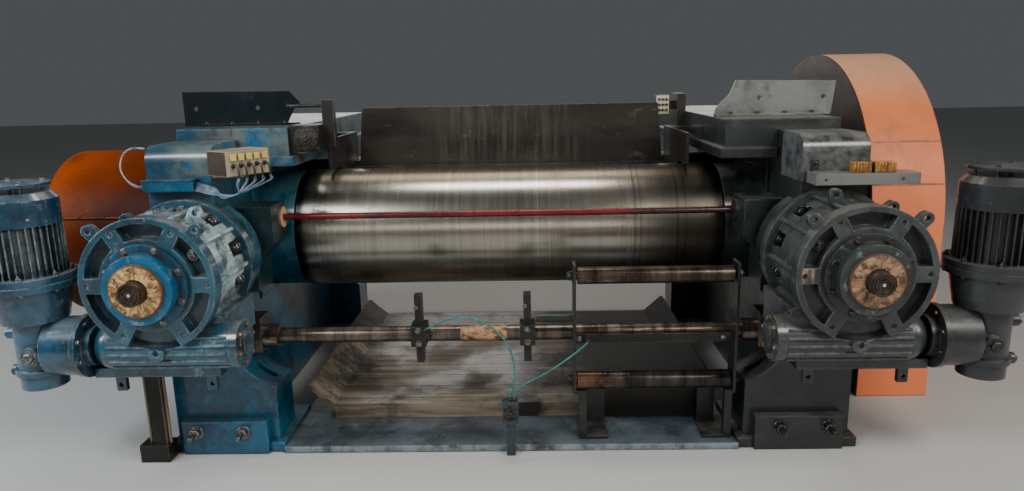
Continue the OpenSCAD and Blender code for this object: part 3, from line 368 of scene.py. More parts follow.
SCORES = [  # place along the roll, half width, colour
    (0.082, 0.004, (0.62, 0.60, 0.52)), (0.145, 0.003, (0.62, 0.60, 0.52)),
    (0.62, 0.005, (0.06, 0.05, 0.04)), (0.648, 0.004, (0.06, 0.05, 0.04)),
    (0.83, 0.006, (0.02, 0.02, 0.02)), (0.87, 0.005, (0.02, 0.02, 0.02)),
    (-0.960, 0.016, (0.30, 0.29, 0.26)),
]


def roll_steel():
    f = Finish("roll_steel", metallic=1.0)
    along = f.axis("X")
    rings = f.noise(1.0, 8, 0.72, stretch=(90, 0.5, 0.5))
    wide = f.noise(1.0, 4, 0.6, stretch=(3.5, 0.8, 0.8))
    streaks = f.noise(1.0, 6, 0.7, stretch=(1.2, 9, 9))
    steel = f.mix(f.step(rings, 0.3, 0.7), (0.34, 0.315, 0.265), (0.44, 0.42, 0.37))
    steel = f.over(steel, (0.2, 0.172, 0.13), f.step(wide, 0.48, 0.7), 0.45)
    steel = f.over(steel, (0.12, 0.1, 0.075), f.step(streaks, 0.52, 0.72), 0.45)
    steel = f.over(steel, (0.035, 0.029, 0.022), f.step(along, 0.46, 0.84), 0.9)
    steel = f.over(steel, (0.025, 0.022, 0.02), f.step(f.op("ABSOLUTE", along), 0.985, 1.035))
    for place, width, tone in SCORES:
        line = f.less(width, f.op("ABSOLUTE", f.less(along, place)))
        steel = f.over(steel, tone, f.step(line, 0.0, width * 0.6), 0.55)
    rough = f.total(0.13, (rings, 0.1), (wide, 0.14), (f.step(along, 0.5, 0.9), 0.12))
    return f.finish(steel, rough, f.total(rings, (streaks, 0.4)), 0.0005, 0.3)


dress(roll_steel(), "front_roll", "rear_roll")


# --- Nip adjusters ---
# A cast housing bolted on each stand's front holds the worm wheel whose screw moves the front roll.
# The paint is rubbed bright on every raised edge, and the barrel's bolts sit in small pockets.

SCREW_X, SCREW_Z = 1.373, 0.9
WORM_Y, WORM_Z, WORM_END_X = -1.335, 0.62, 1.063
POCKET_Y, PLUG_Y, DRUM_Y, COVER_Y, DISC_Y, SCREW_Y = -1.095, -1.407, -1.455, -1.475, -1.544, -1.589
COVER_BOLTS_R, PLUG_R, POCKET_BOLTS_R, DRUM_SCREWS_R, BARREL_R = 0.151, 0.212, 0.226, 0.234, 0.2445
WORM_BOLTS_R = 0.076
OUT, UP = (0, -1, 0), (0, 0, 1)


def ring_points(sides):
    """Cosine and sine of each corner of a regular polygon."""
    return [(math.cos(math.tau * k / sides), math.sin(math.tau * k / sides)) for k in range(sides)]


class Shape:
    """A mesh in the making, put together from turned, sawn and bent parts."""

    def __init__(self):
        self.mesh = bmesh.new()

    def verts(self, points):
        return [self.mesh.verts.new(point) for point in points]

    def skin(self, rings):
        """Joins rings of corners in a row and closes both ends."""
        for low, high in zip(rings, rings[1:]):
            for k in range(len(low)):
                n = (k + 1) % len(low)
                self.mesh.faces.new((low[k], low[n], high[n], high[k]))
        self.mesh.faces.new(rings[0][::-1])
        self.mesh.faces.new(rings[-1])

    def block(self, lo, hi, turn=Matrix()):
        lo, hi = Vector(lo), Vector(hi)
        place = Matrix.Translation((lo + hi) / 2) @ Matrix.Diagonal((*(hi - lo), 1))
        bmesh.ops.create_cube(self.mesh, size=1, matrix=turn @ place)

    def turned(self, profile, place, axis, sides):
        """Turns a profile of (radius, height) pairs about an axis through place."""
        turn = Vector(axis).normalized().to_track_quat("Z", "Y").to_matrix().to_4x4()
        turn = Matrix.Translation(place) @ turn
        self.skin([self.verts(turn @ Vector((r * c, r * s, h)) for c, s in ring_points(sides))
                   for r, h in profile])

    def bolt(self, place, axis, r, h, washer=True, stud=0.0):
        """A hexagon head on its washer, standing on place, with a stud end where it is a nut."""
        axis, base = Vector(axis).normalized(), Vector(place)
        if washer:
            self.turned([(r * 1.35, -0.001), (r * 1.35, 0.0022), (r * 1.28, 0.003)], base, axis, 20)
            base = base + axis * 0.0028
        self.turned([(r, 0), (r, h * 0.86), (r * 0.86, h)], base, axis, 6)
        if stud:
            self.turned([(r * 0.52, 0), (r * 0.52, h + stud * 0.88), (r * 0.44, h + stud)], base, axis, 14)

    def screw(self, place, axis, r, h, stud=0.0):
        self.bolt(place, axis, r, h, washer=False, stud=stud)

    def tube(self, route, r, sides):
        """A bent bar or pipe along a route."""
        route = [Vector(p) for p in route]
        rings, side = [], None
        for i, point in enumerate(route):
            ahead = (route[min(i + 1, len(route) - 1)] - route[max(i - 1, 0)]).normalized()
            if side is None:
                side = ahead.orthogonal().normalized()
            side = (side - ahead * side.dot(ahead)).normalized()
            other = ahead.cross(side)
            rings.append(self.verts(point + r * (side * c + other * s) for c, s in ring_points(sides)))
        self.skin(rings)

    def piece(self, name, finish, slot="dark_steel", body="root", bevel=0.0008, smooth=True):
        bmesh.ops.recalc_face_normals(self.mesh, faces=self.mesh.faces)
        mesh = bpy.data.meshes.new(name)
        self.mesh.to_mesh(mesh)
        self.mesh.free()
        mesh.materials.append(finish)
        made = add_object(name, mesh)
        if bevel:
            worn = made.modifiers.new("broken_edges", "BEVEL")
            worn.width = bevel
            worn.segments = 2
            worn.limit_method = "ANGLE"
            worn.angle_limit = math.radians(35)
        if smooth:
            mesh.shade_smooth()
            mesh.set_sharp_from_angle(angle=math.radians(32))
        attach(made, body)


def scaled(colour, factor, most=1.0):
    return tuple(min(most, factor * c) for c in colour)


def bolt_steel(name, tone, dirt=(0.02, 0.017, 0.014), metallic=0.9):
    f = Finish(name, metallic=metallic)
    cloud = f.noise(110, 6, 0.7)
    colour = f.over(f.mix(f.step(cloud, 0.34, 0.68), dirt, tone), scaled(tone, 1.7), f.edges(0.002), 0.5)
    return f.finish(colour, f.total(0.2, (cloud, 0.35)), f.noise(160, 4), 0.0004, 0.6)


# Rubbed paint and painted light: the barrel's upper part is laid pale blue-grey, lighter than its paint.
def worn_and_lit_barrel_top(f):
    return f.times(f.band("Y", -1.392, -1.098), f.step(f.axis("Z"), 0.745, 0.77))


def behind_ring(f):
    """The recessed faces between hub and rim."""
    return f.times(f.band("Y", -1.4105, -1.4035, 0.001), f.step(f.axis("Z"), 0.64, 0.66))


def bare_arm(f):
    """The right gear's one arm that is rubbed down to rusty metal."""
    front = f.times(f.band("X", 1.124, 1.178, 0.01), f.band("Z", 0.866, 0.934, 0.008))
    return f.times(front, f.band("Y", -1.47, -1.44, 0.004))


def cover_finish(name, side, ring, boss, rust_light, rust_dark):
    """Painted cover with a glossier boss, and in front of it the worn disc of bare rusty metal."""
    f = Finish(name, coat=0.15)
    y = f.axis("Y")
    radius = f.away("X", side * SCREW_X, "Z", SCREW_Z)
    angle = f.op("ARCTAN2", f.less(f.axis("Z"), SCREW_Z), f.less(f.axis("X"), side * SCREW_X))
    paint = f.mix(f.blots(0.4, 0.62, 9, 6, 0.7), ring, boss)
    paint = f.over(paint, f.mix(f.blots(0.35, 0.6, 13, 6), boss, scaled(boss, 1.35)),
                   f.step(y, COVER_Y - 0.004, COVER_Y - 0.01))
    paint = f.over(paint, (0.22, 0.27, 0.29), f.blots(0.56, 0.66, 22, 8, 0.75), 0.6)
    # Hollows, found by their occlusion, are laid near black: grease and painted shade.
    paint = f.over(paint, GREASE_AND_SHADE, f.hollows(0.05), 0.9)
    paint = f.over(paint, GREASE_AND_SHADE, f.blots(0.56, 0.7, 8, 6, stretch=(1, 1, 0.2)), 0.8)
    rays = f.add("CombineXYZ", {0: f.times(angle, 3.2), 1: f.times(radius, 9.0)}).outputs[0]
    rust = f.mix(f.blots(0.4, 0.6, 1.6, 7, 0.72, at=rays), rust_dark, rust_light)
    rust = f.over(rust, scaled(rust_dark, 0.3), f.blots(0.47, 0.6, 28, 8, 0.74))
    rust = f.over(rust, scaled(rust_dark, 0.5), f.step(radius, 0.094, 0.101))
    colour = f.over(paint, rust, f.step(y, DISC_Y + 0.0135, DISC_Y + 0.012))
    rough = f.total(0.12, (f.noise(17, 5), 0.4), (f.step(y, DISC_Y + 0.013, DISC_Y + 0.01), 0.3))
    return f.finish(colour, rough, f.noise(60, 7, 0.7), 0.0012, 0.6, radius=0.005)


def screw_finish(name, side):
    """Oily steel screw: thread marks along its side and turned rings on its end, with a bright centre."""
    f = Finish(name, metallic=0.75)
    y = f.axis("Y")
    radius = f.away("X", side * SCREW_X, "Z", SCREW_Z)
    end = f.step(y, SCREW_Y + 0.003, SCREW_Y + 0.001)
    shank = f.less(1.0, end)
    rings, thread = f.op("SINE", f.times(radius, 520.0)), f.op("SINE", f.times(y, 560.0))
    colour = f.mix(f.blots(0.42, 0.62, 40, 7, 0.7), (0.022, 0.014, 0.009), (0.075, 0.052, 0.038))
    colour = f.over(colour, (0.16, 0.14, 0.12), f.step(thread, 0.3, 0.9), shank)
    colour = f.over(colour, (0.18, 0.16, 0.14), f.step(rings, 0.55, 0.95), f.times(end, 0.35))
    colour = f.over(colour, (0.62, 0.6, 0.54), f.step(radius, 0.0085, 0.0045), end)
    height = f.total(0.0, (rings, f.times(end, 0.5)), (thread, shank))
    return f.finish(colour, f.total(0.22, (f.noise(30, 5), 0.3)), height, 0.0012, 0.7, radius=0.004)


GEAR_BLUE = worn_paint(
    "gear_blue", (0.003, 0.026, 0.044), (0.01, 0.08, 0.126), (0.28, 0.4, 0.46), wear=0.9, grease=0.44,
    edge=0.009, dust=(0.17, 0.16, 0.14), coat=0.8,
    # The barrel's upper part is painted pale: rubbed paint, and painted light.
    patches=[(worn_and_lit_barrel_top, (0.46, 0.59, 0.64), 0.95), (behind_ring, (0.01, 0.046, 0.072), 1.0)])
GEAR_BLACK = worn_paint(
    "gear_black", (0.018, 0.024, 0.025), (0.044, 0.055, 0.056), (0.26, 0.27, 0.265), wear=0.6, grease=0.42,
    edge=0.008, dust=(0.1, 0.095, 0.08), coat=0.35,
    patches=[(behind_ring, (0.014, 0.021, 0.023), 1.0), (bare_arm, (0.36, 0.25, 0.15), 1.0)])
BOLT_DARK = bolt_steel("bolt_dark", (0.11, 0.11, 0.105))
BOLT_BRIGHT = bolt_steel("bolt_bright", (0.34, 0.35, 0.34))
GREASY_TAN = bolt_steel("greasy_tan", (0.2, 0.155, 0.105), (0.03, 0.024, 0.017), 0.4)
dress(GEAR_BLUE, "left_adjuster")
dress(GEAR_BLACK, "right_adjuster")
dress(cover_finish("cover_blue", -1, (0.006, 0.04, 0.07), (0.006, 0.08, 0.165), (0.7, 0.51, 0.22),
                   (0.27, 0.1, 0.02)), "left_bearing_cover")
dress(cover_finish("cover_black", 1, (0.02, 0.026, 0.026), (0.024, 0.029, 0.029), (0.36, 0.23, 0.14),
                   (0.17, 0.08, 0.04)), "right_bearing_cover")
dress(screw_finish("screw_left_steel", -1), "left_adjusting_screw")
dress(screw_finish("screw_right_steel", 1), "right_adjusting_screw")


def around(side, radius, degrees):
    """A point on a circle round the screw axis: side is -1 on the left stand and 1 on the right."""
    angle = math.radians(degrees)
    return side * (SCREW_X + radius * math.cos(angle)), SCREW_Z + radius * math.sin(angle)


def all_around(side, radius, count, start=0.0):
    return [around(side, radius, start + 360 / count * k) for k in range(count)]


def fit_adjuster(name, side, head_finish):
    heads = Shape()
    for x, z in all_around(side, COVER_BOLTS_R, 8, 22.5):
        heads.bolt((x, COVER_Y, z), OUT, 0.0105, 0.009)
    for x, z in all_around(side, POCKET_BOLTS_R, 10, 18):
        heads.bolt((x, POCKET_Y, z), OUT, 0.018, 0.016, stud=0.012)
    socket = [(0.0085, -0.02), (0.0085, -0.003), (0.0078, -0.002), (0.0048, -0.002), (0.0046, -0.007)]
    for x, z in all_around(side, DRUM_SCREWS_R, 6):
        heads.turned(socket, (x, DRUM_Y, z), OUT, 18)
    x, z = around(side, PLUG_R, 148)
    heads.turned([(0.026, 0), (0.026, 0.01), (0.023, 0.014), (0.023, 0.018)], (x, PLUG_Y, z), OUT, 24)
    heads.screw((x, PLUG_Y - 0.017, z), OUT, 0.014, 0.01)
    heads.piece(name + "_adjuster_bolts", head_finish)
    worm = Shape()
    for k in range(6):
        angle = math.radians(15 + 60 * k)
        y, z = WORM_Y + WORM_BOLTS_R * math.cos(angle), WORM_Z + WORM_BOLTS_R * math.sin(angle)
        worm.bolt((side * WORM_END_X, y, z), (-side, 0, 0), 0.011, 0.011)
    worm.piece(name + "_worm_end_bolts", GREASY_TAN)


fit_adjuster("left", -1, BOLT_BRIGHT)
fit_adjuster("right", 1, BOLT_DARK)


def lump(shape, place, size):
    """One crumb of rubber or grease."""
    made = bmesh.ops.create_icosphere(shape.mesh, subdivisions=1, radius=size)["verts"]
    for v in made:
        v.co *= random.uniform(0.6, 1.25)
    turn = Matrix.Rotation(random.uniform(0, math.tau), 4, "Z") @ Matrix.Diagonal((1.5, 0.9, 0.55, 1))
    bmesh.ops.transform(shape.mesh, matrix=Matrix.Translation(place) @ turn, verts=made)


def litter_barrel(name, side, count):
    crumbs = Shape()
    for _ in range(count):
        angle, y = random.uniform(48, 128), random.uniform(-1.375, -1.12)
        x, z = around(side, BARREL_R, angle)
        lump(crumbs, (x, y, z), random.choice((0.002, 0.003, 0.004, 0.007)))
    crumbs.piece(name, GREASY_TAN, bevel=0, smooth=False)


random.seed(7)
litter_barrel("left_grease_crumbs", -1, 110)
litter_barrel("right_grease_crumbs", 1, 60)


# --- Foot plates and anchors ---
# Two studs with nuts hold the thick plate in front of each foot, and an anchor nut sits in the foot's slot.
# They are plain steel under old paint and grease.

FOOT_STUDS_X, FOOT_STUDS_Z, FOOT_PLATE_Y = (1.21, 1.425), 0.108, -1.1
ANCHOR_X, ANCHOR_Y, ANCHOR_Z = 1.135, -0.938, 0.263


def fit_foot(name, side, steel):
    nuts = Shape()
    for x in FOOT_STUDS_X:
        washer = [(0.034, -0.001), (0.034, 0.005), (0.032, 0.007)]
        nuts.turned(washer, (side * x, FOOT_PLATE_Y, FOOT_STUDS_Z), OUT, 28)
        nuts.screw((side * x, FOOT_PLATE_Y - 0.0068, FOOT_STUDS_Z), OUT, 0.024, 0.022, 0.045)
    nuts.bolt((side * ANCHOR_X, ANCHOR_Y, ANCHOR_Z), UP, 0.016, 0.016, stud=0.03)
    nuts.piece(name + "_foot_nuts", steel)


fit_foot("left", -1, BOLT_BRIGHT)
fit_foot("right", 1, BOLT_DARK)


# --- Gear motors ---
# A vertical finned motor under a rain canopy is bolted on a bevel gearbox beside each worm housing.
# Both are cast iron. Left: blue-grey gloss paint, dusty and rubbed. Right: almost black.

MOTOR_X, FLANGE_TOP, FLANGE_UNDERSIDE, FLANGE_BOLTS_R = 1.91, 0.933, 0.879, 0.163
COWL_TOP, COWL_SCREWS_Z, COWL_R, CANOPY_TOP, CANOPY_STUDS_R = 1.2565, 1.16, 0.1468, 1.294, 0.098
ELBOW_X, ELBOW_BOLTS_R, PLUGS_X = 1.693, 0.108, 2.032


def between_fins(f):
    """The dusty grey fins between flange and cowl."""
    return f.band("Z", 0.955, 1.125, 0.01)


MOTOR_BLUE = worn_paint(
    "motor_blue", (0.005, 0.024, 0.044), (0.022, 0.082, 0.138), (0.4, 0.48, 0.52), wear=0.85, grease=0.45,
    edge=0.006, dust=(0.17, 0.22, 0.25), coat=0.6, shine=0.2,
    patches=[(between_fins, (0.17, 0.2, 0.215), 0.85)])
MOTOR_BLACK = worn_paint(
    "motor_black", (0.01, 0.012, 0.014), (0.024, 0.028, 0.031), (0.13, 0.14, 0.14), wear=0.4, grease=0.4,
    edge=0.006, dust=(0.1, 0.1, 0.095), coat=0.3)
dress(MOTOR_BLUE, "left_gearbox", "left_motor")
dress(MOTOR_BLACK, "right_gearbox", "right_motor")


def fit_motor(name, side, steel):
    parts = Shape()

    def beside(angle, radius, height):
        """A point at some height round the motor's axis."""
        x, y = side * MOTOR_X + radius * math.cos(angle), WORM_Y + radius * math.sin(angle)
        return Vector((x, y, height))

    for k in range(8):
        angle = math.radians(22.5 + 45 * k)
        parts.bolt(beside(angle, FLANGE_BOLTS_R, FLANGE_TOP), UP, 0.01, 0.009, stud=0.008)
        parts.bolt(beside(angle, FLANGE_BOLTS_R, FLANGE_UNDERSIDE), (0, 0, -1), 0.01, 0.009)
    for k in range(4):
        angle = math.radians(45 + 90 * k)
        parts.turned([(0.006, 0), (0.006, 0.027)], beside(angle, CANOPY_STUDS_R, COWL_TOP), UP, 12)
        parts.bolt(beside(angle, CANOPY_STUDS_R, CANOPY_TOP), UP, 0.0085, 0.007)
        outward = (math.cos(angle), math.sin(angle), 0)
        parts.bolt(beside(angle, COWL_R, COWL_SCREWS_Z), outward, 0.0055, 0.004)
    for degrees in (-20, 25, 70, 115, 160):
        angle = math.radians(degrees)
        y, z = WORM_Y - ELBOW_BOLTS_R * math.cos(angle), WORM_Z + ELBOW_BOLTS_R * math.sin(angle)
        parts.bolt((side * ELBOW_X, y, z), (-side, 0, 0), 0.0095, 0.009)
    parts.bolt((side * (MOTOR_X - 0.024), -1.445, 0.608), OUT, 0.022, 0.014)
    for z in (0.518, 0.677):
        parts.bolt((side * PLUGS_X, WORM_Y, z), (side, 0, 0), 0.014, 0.012)
    parts.piece(name + "_motor_bolts", steel)


fit_motor("left", -1, BOLT_BRIGHT)
fit_motor("right", 1, BOLT_DARK)


# --- Gear guards ---
# Sheet-steel guards round the gears, fixed beside the stands: a low orange one on the left, a tall faded
# salmon one on the right, joined at the seams. Soot and oil smudge the orange, and painted shade darkens it
# towards the stand and lower down. Dust dulls the salmon, whose inner side is painted near black as shade.

SALMON_INNER_X, SALMON_OUTER_X = 1.792, 2.148
SALMON_SEAMS = 28.7, 13.9
ORANGE_LIP = (-2.205, -0.722, 1.036), (-1.625, -0.706, 1.041)
ROLL_Z, REAR_ROLL_Y = 0.9, 0.308


def guard_paint(name, fresh, masked_tone, smudge, shade, gloss, inner_x=None, dusty=0.0):
    """Sheet paint, laid with a second tone where the shade mask says: painted shade on the orange guard, a
    pinker lower part on the salmon one. Inside of inner_x, where one is given, it is painted near black as
    shade.
    """
    f = Finish(name, gloss=gloss)
    paint = f.mix(f.blots(0.38, 0.64, 1.6, 5), fresh, scaled(fresh, 0.78))
    # The second tone goes where the mask says: painted shade on the orange guard, a pinker lower part on the
    # salmon one.
    paint = f.over(paint, masked_tone, shade(f), 0.92)
    paint = f.over(paint, smudge, f.blots(0.54, 0.7, 6, 7, 0.7, stretch=(1, 1, 0.35)), 0.5)
    paint = f.over(paint, scaled(fresh, 1.7, 0.8), f.blots(0.72, 0.75, 48, 5, 0.6), 0.7)
    paint = f.over(paint, scaled(fresh, 1.3), f.edges(0.01), f.blots(0.45, 0.6, 30, 6))
    paint = f.over(paint, (0.52, 0.37, 0.25), f.upward(0.6, 1.0), dusty)
    # Painted shade: the salmon guard's inner side, inside of inner_x, is laid near black.
    if inner_x is not None:
        paint = f.over(paint, (0.03, 0.018, 0.014), f.step(f.axis("X"), inner_x + 0.004, inner_x + 0.001))
    rough = f.total(0.3, (f.noise(9, 6), 0.3))
    return f.finish(paint, rough, f.total(f.noise(3, 4), (f.noise(40, 4), 0.15)), 0.006, 0.35, radius=0.01)


def shade_to_the_right(f):
    """Painted shade: darker towards the stand and lower down."""
    return f.step(f.total(0.0, (f.axis("X"), 1.3), (f.axis("Z"), -1), (f.noise(2.2, 5), 0.6)), -3.9, -3.1)


def pink_below(f):
    return f.step(f.total(f.axis("Z"), (f.noise(2.2, 5), 0.4)), 1.55, 1.05)


def seam_paint(name, dark, light):
    f = Finish(name)
    colour = f.mix(f.blots(0.4, 0.6, 14, 6), dark, light)
    return f.finish(colour, f.total(0.5, (f.noise(20, 4), 0.3)), f.noise(60, 4), 0.0005)


GUARD_ORANGE = guard_paint(
    "guard_orange", (0.24, 0.04, 0.0025), (0.02, 0.004, 0.002), (0.05, 0.009, 0.002), shade_to_the_right,
    gloss=0.06)
GUARD_SALMON = guard_paint(
    "guard_salmon", (0.54, 0.15, 0.052), (0.8, 0.215, 0.092), (0.24, 0.095, 0.055), pink_below,
    gloss=0.25, inner_x=SALMON_INNER_X, dusty=0.6)
SEAM_SALMON = seam_paint("seam_salmon", (0.24, 0.08, 0.04), (0.42, 0.14, 0.07))
SEAM_ORANGE = seam_paint("seam_orange", (0.04, 0.008, 0.002), (0.16, 0.03, 0.004))
dress(GUARD_ORANGE, "left_gear_guard")
dress(GUARD_SALMON, "right_gear_guard")


def seam_guards():
    lip = Shape()
    lip.block(*ORANGE_LIP)
    for k in range(5):
        lip.screw((-1.7 - 0.12 * k, -0.715, ORANGE_LIP[1][2]), UP, 0.006, 0.005)
    lip.piece("orange_guard_seam", SEAM_ORANGE, "guard_orange")
    straps = Shape()
    for degrees in SALMON_SEAMS:
        outline = []
        for radius, aside in ((0.8497, -0.35), (0.8525, -0.3), (0.8525, 0.3), (0.8497, 0.35)):
            angle = math.radians(degrees + aside)
            outline.append((REAR_ROLL_Y - radius * math.cos(angle), ROLL_Z + radius * math.sin(angle)))
        straps.skin([straps.verts((x, y, z) for y, z in outline)
                     for x in (SALMON_INNER_X + 0.001, SALMON_OUTER_X - 0.001)])
    straps.piece("salmon_guard_seams", SEAM_SALMON, "guard_salmon", bevel=0)


seam_guards()


# --- Brackets and stock plate ---
# Plates bolted on the caps, and between them the oily steel plate that holds back the bank of rubber.
# Its two end guides reach down into the valley between the rolls.

CAP_TOP, BRACKET_BOLTS_X, BRACKET_BOLTS_Y = 1.46, (1.1, 1.23, 1.36, 1.49), -0.474
SEAT_X, SEAT_Y, SEAT_Z, SEAT_R = -1.08, -0.72, 1.03, 0.052
DIAL, BUTTON_BOX_Y = (-0.925, -0.737, 1.398), 0.194


def grimy(name, deep, light, scratch, metallic=0.0, grain=(1, 1, 1), shine=0.3, coat=0.0, patches=()):
    """Dirty metal, plastic or glass, with scratches along the grain."""
    f = Finish(name, metallic=metallic, coat=coat)
    cloud = f.noise(2.5, 7, 0.7, stretch=grain)
    colour = f.mix(f.step(cloud, 0.38, 0.64), deep, light)
    for mask, tone in patches:
        colour = f.over(colour, tone, mask(f))
    marks = f.blots(0.58, 0.68, 18, 8, 0.75, stretch=tuple(0.5 * g + 0.1 for g in grain))
    colour = f.over(colour, scratch, marks, 0.45)
    colour = f.over(colour, scratch, f.edges(0.006), f.blots(0.4, 0.6, 30, 5))
    # Corners and pockets, found by their occlusion, are laid near black: grease and painted shade.
    colour = f.over(colour, GREASE_AND_SHADE, f.hollows(0.06), 0.8)
    rough = f.total(shine - 0.1, (f.noise(8, 6, 0.7, stretch=grain), 0.4))
    return f.finish(colour, rough, f.total(cloud, (f.noise(50, 6, 0.7), 0.5)), 0.002, 0.5, radius=0.003)


def worn_seat(f):
    """The round seat where the safety bar is fixed."""
    disc = f.step(f.away("Y", SEAT_Y, "Z", SEAT_Z), SEAT_R, SEAT_R - 0.004)
    return f.times(disc, f.step(f.axis("X"), SEAT_X, SEAT_X + 0.005))


def rubbed_pale(f):
    """Where the stock rubs the plate, in upright streaks."""
    streaks = f.times(f.blots(0.4, 0.66, 1.0, 8, 0.75, stretch=(22, 1, 1.6)), 0.8)
    return f.times(f.band("X", -0.6, 0.55, 0.35), streaks)


NAVY_PLATE = worn_paint("bracket_navy", (0.0015, 0.004, 0.006), (0.003, 0.009, 0.013), (0.05, 0.075, 0.09),
                        wear=0.15, grease=0.2, edge=0.004, coat=0.0, shine=0.5, gloss=0.12)
GREY_PLATE = worn_paint("bracket_grey", (0.095, 0.098, 0.088), (0.155, 0.16, 0.15), (0.27, 0.28, 0.27),
                        wear=0.4, grease=0.25, edge=0.005, dust=(0.13, 0.125, 0.11), coat=0.2)
# The take-off cheeks' green paint, laid almost black as painted shade.
SHADED_GREEN_PAINT = worn_paint(
    "take_off_green_shaded", (0.002, 0.004, 0.0035), (0.005, 0.01, 0.009), (0.1, 0.11, 0.1), wear=0.3,
    edge=0.004, coat=0.15)
BRACKET_GREEN = worn_paint(
    "bracket_green", (0.005, 0.022, 0.026), (0.016, 0.05, 0.056), (0.12, 0.16, 0.16), wear=0.4,
    edge=0.006, coat=0.3, patches=[(worn_seat, (0.62, 0.36, 0.2), 1.0)])
DARK_STEEL = grimy("dark_steel", (0.009, 0.008, 0.007), (0.026, 0.023, 0.02), (0.15, 0.14, 0.12),
                   metallic=0.35)
STOCK_STEEL = grimy("stock_steel", (0.01, 0.008, 0.006), (0.03, 0.024, 0.018), (0.13, 0.11, 0.085),
                    metallic=0.35, grain=(0.5, 1, 1.6), patches=[(rubbed_pale, (0.06, 0.052, 0.042))])
CREAM = grimy("button_box_cream", (0.36, 0.32, 0.22), (0.52, 0.47, 0.34), (0.6, 0.56, 0.44))
BLACK_PLASTIC = grimy("black_plastic", (0.008, 0.008, 0.008), (0.018, 0.018, 0.018), (0.06, 0.06, 0.06),
                      coat=0.3)
dress(NAVY_PLATE, "left_top_bracket")
dress(GREY_PLATE, "right_top_bracket")
dress(STOCK_STEEL, "stock_plate")
dress(DARK_STEEL, "left_stock_guide", "right_stock_guide", "knife_clamps", "takeoff_tie_bar")
dress(SHADED_GREEN_PAINT, "left_cheek", "right_cheek")
dress(BRACKET_GREEN, "left_bar_bracket")


def fit_brackets():
    bolts = Shape()
    for side in (-1, 1):
        for x in BRACKET_BOLTS_X:
            bolts.bolt((side * x, BRACKET_BOLTS_Y, CAP_TOP), UP, 0.01, 0.009)
    dial = [(0.052, -0.001), (0.052, 0.004), (0.042, 0.005), (0.042, 0.009), (0.03, 0.01), (0.028, 0.017),
            (0.014, 0.018), (0.012, 0.026)]
    bolts.turned(dial, DIAL, OUT, 40)
    for x in (-0.885, -0.965):
        bolts.bolt((x, -0.712, 1.352), OUT, 0.008, 0.007)
    bolts.piece("bracket_bolts", BOLT_DARK)
    face = Shape()
    face.block((0.848, BUTTON_BOX_Y, 1.433), (0.922, BUTTON_BOX_Y + 0.0065, 1.539))
    face.piece("button_box_face", CREAM, "lubricator_cream", bevel=0.002)
    buttons = Shape()
    cap = [(0.008, -0.001), (0.008, 0.003), (0.0065, 0.007), (0.006, 0.0075)]
    for x in (0.864, 0.885, 0.906):
        for z in (1.457, 1.487, 1.517):
            buttons.turned(cap, (x, BUTTON_BOX_Y, z), OUT, 16)
    buttons.piece("button_box_buttons", BLACK_PLASTIC)


fit_brackets()


# --- Bars and rollers ---
# The red safety bar and the rusty knife bar on the stands' brackets, and the two take-off rollers between
# their cheeks, all steel tube and rod. Rubber dust and oil make them brown, with bright rub marks.

KNIFE_Y, KNIFE_Z = -0.925, 0.508
CAMBER_X, CLAMP_BOLTS_Z, TIE_BOLTS_X = (-0.41, 0.088), (0.478, 0.54), (0.318, 0.96)
TAPE_X, TAPE_LENGTH, TAPE_TURN, TAPE_R = -0.218, 0.212, 0.0105, 0.0372
ROLLER_Y, ROLLER_ENDS = -1.02, ((0.2895, -1), (1.0125, 1))


def bar_paint():
    f = Finish("safety_red")
    clouds = f.blots(0.4, 0.62, 12, 6, 0.7, stretch=(0.4, 1, 1))
    paint = f.mix(clouds, (0.15, 0.004, 0.008), (0.055, 0.003, 0.005))
    paint = f.over(paint, (0.022, 0.006, 0.007), f.step(f.axis("X"), 0.42, 0.72))
    chips = f.blots(0.6, 0.66, 24, 8, 0.76, stretch=(0.35, 1, 1))
    paint = f.over(paint, (0.035, 0.022, 0.018), chips, 0.75)
    return f.finish(paint, f.total(0.15, (f.noise(20, 5), 0.3)), f.noise(50, 5), 0.0008, 0.5)


def roller_steel(name, deep, light, copper=None):
    """Rust-stained rod, with a coppery left end where copper gives its colour."""
    f = Finish(name, metallic=0.85)
    bands = f.noise(1.0, 7, 0.7, stretch=(14, 1.2, 1.2))
    runs = f.noise(1.0, 7, 0.75, stretch=(3, 26, 26))
    colour = f.mix(f.step(bands, 0.4, 0.62), deep, light)
    if copper is not None:
        warm = f.step(f.total(f.axis("X"), (f.noise(9, 6, 0.7), 0.3)), 0.7, 0.45)
        colour = f.over(colour, copper, warm, 0.8)
    colour = f.over(colour, (0.42, 0.4, 0.36), f.step(runs, 0.58, 0.68), 0.8)
    colour = f.over(colour, (0.02, 0.014, 0.01), f.blots(0.55, 0.66, 9, 7, 0.72))
    return f.finish(colour, f.total(0.15, (bands, 0.3)), f.total(bands, (runs, 1)), 0.0008, 0.5)


dress(bar_paint(), "safety_bar")
dress(roller_steel("knife_bar_steel", (0.06, 0.046, 0.036), (0.17, 0.14, 0.115)), "knife_bar")
dress(roller_steel("upper_roller_steel", (0.03, 0.022, 0.016), (0.1, 0.078, 0.06)), "upper_takeoff_roller")
dress(roller_steel("lower_roller_steel", (0.025, 0.022, 0.02), (0.075, 0.066, 0.058),
                   copper=(0.2, 0.095, 0.055)), "lower_takeoff_roller")
TAPE = grimy("bar_tape", (0.055, 0.026, 0.012), (0.44, 0.24, 0.12), (0.55, 0.38, 0.24), grain=(9, 14, 14))


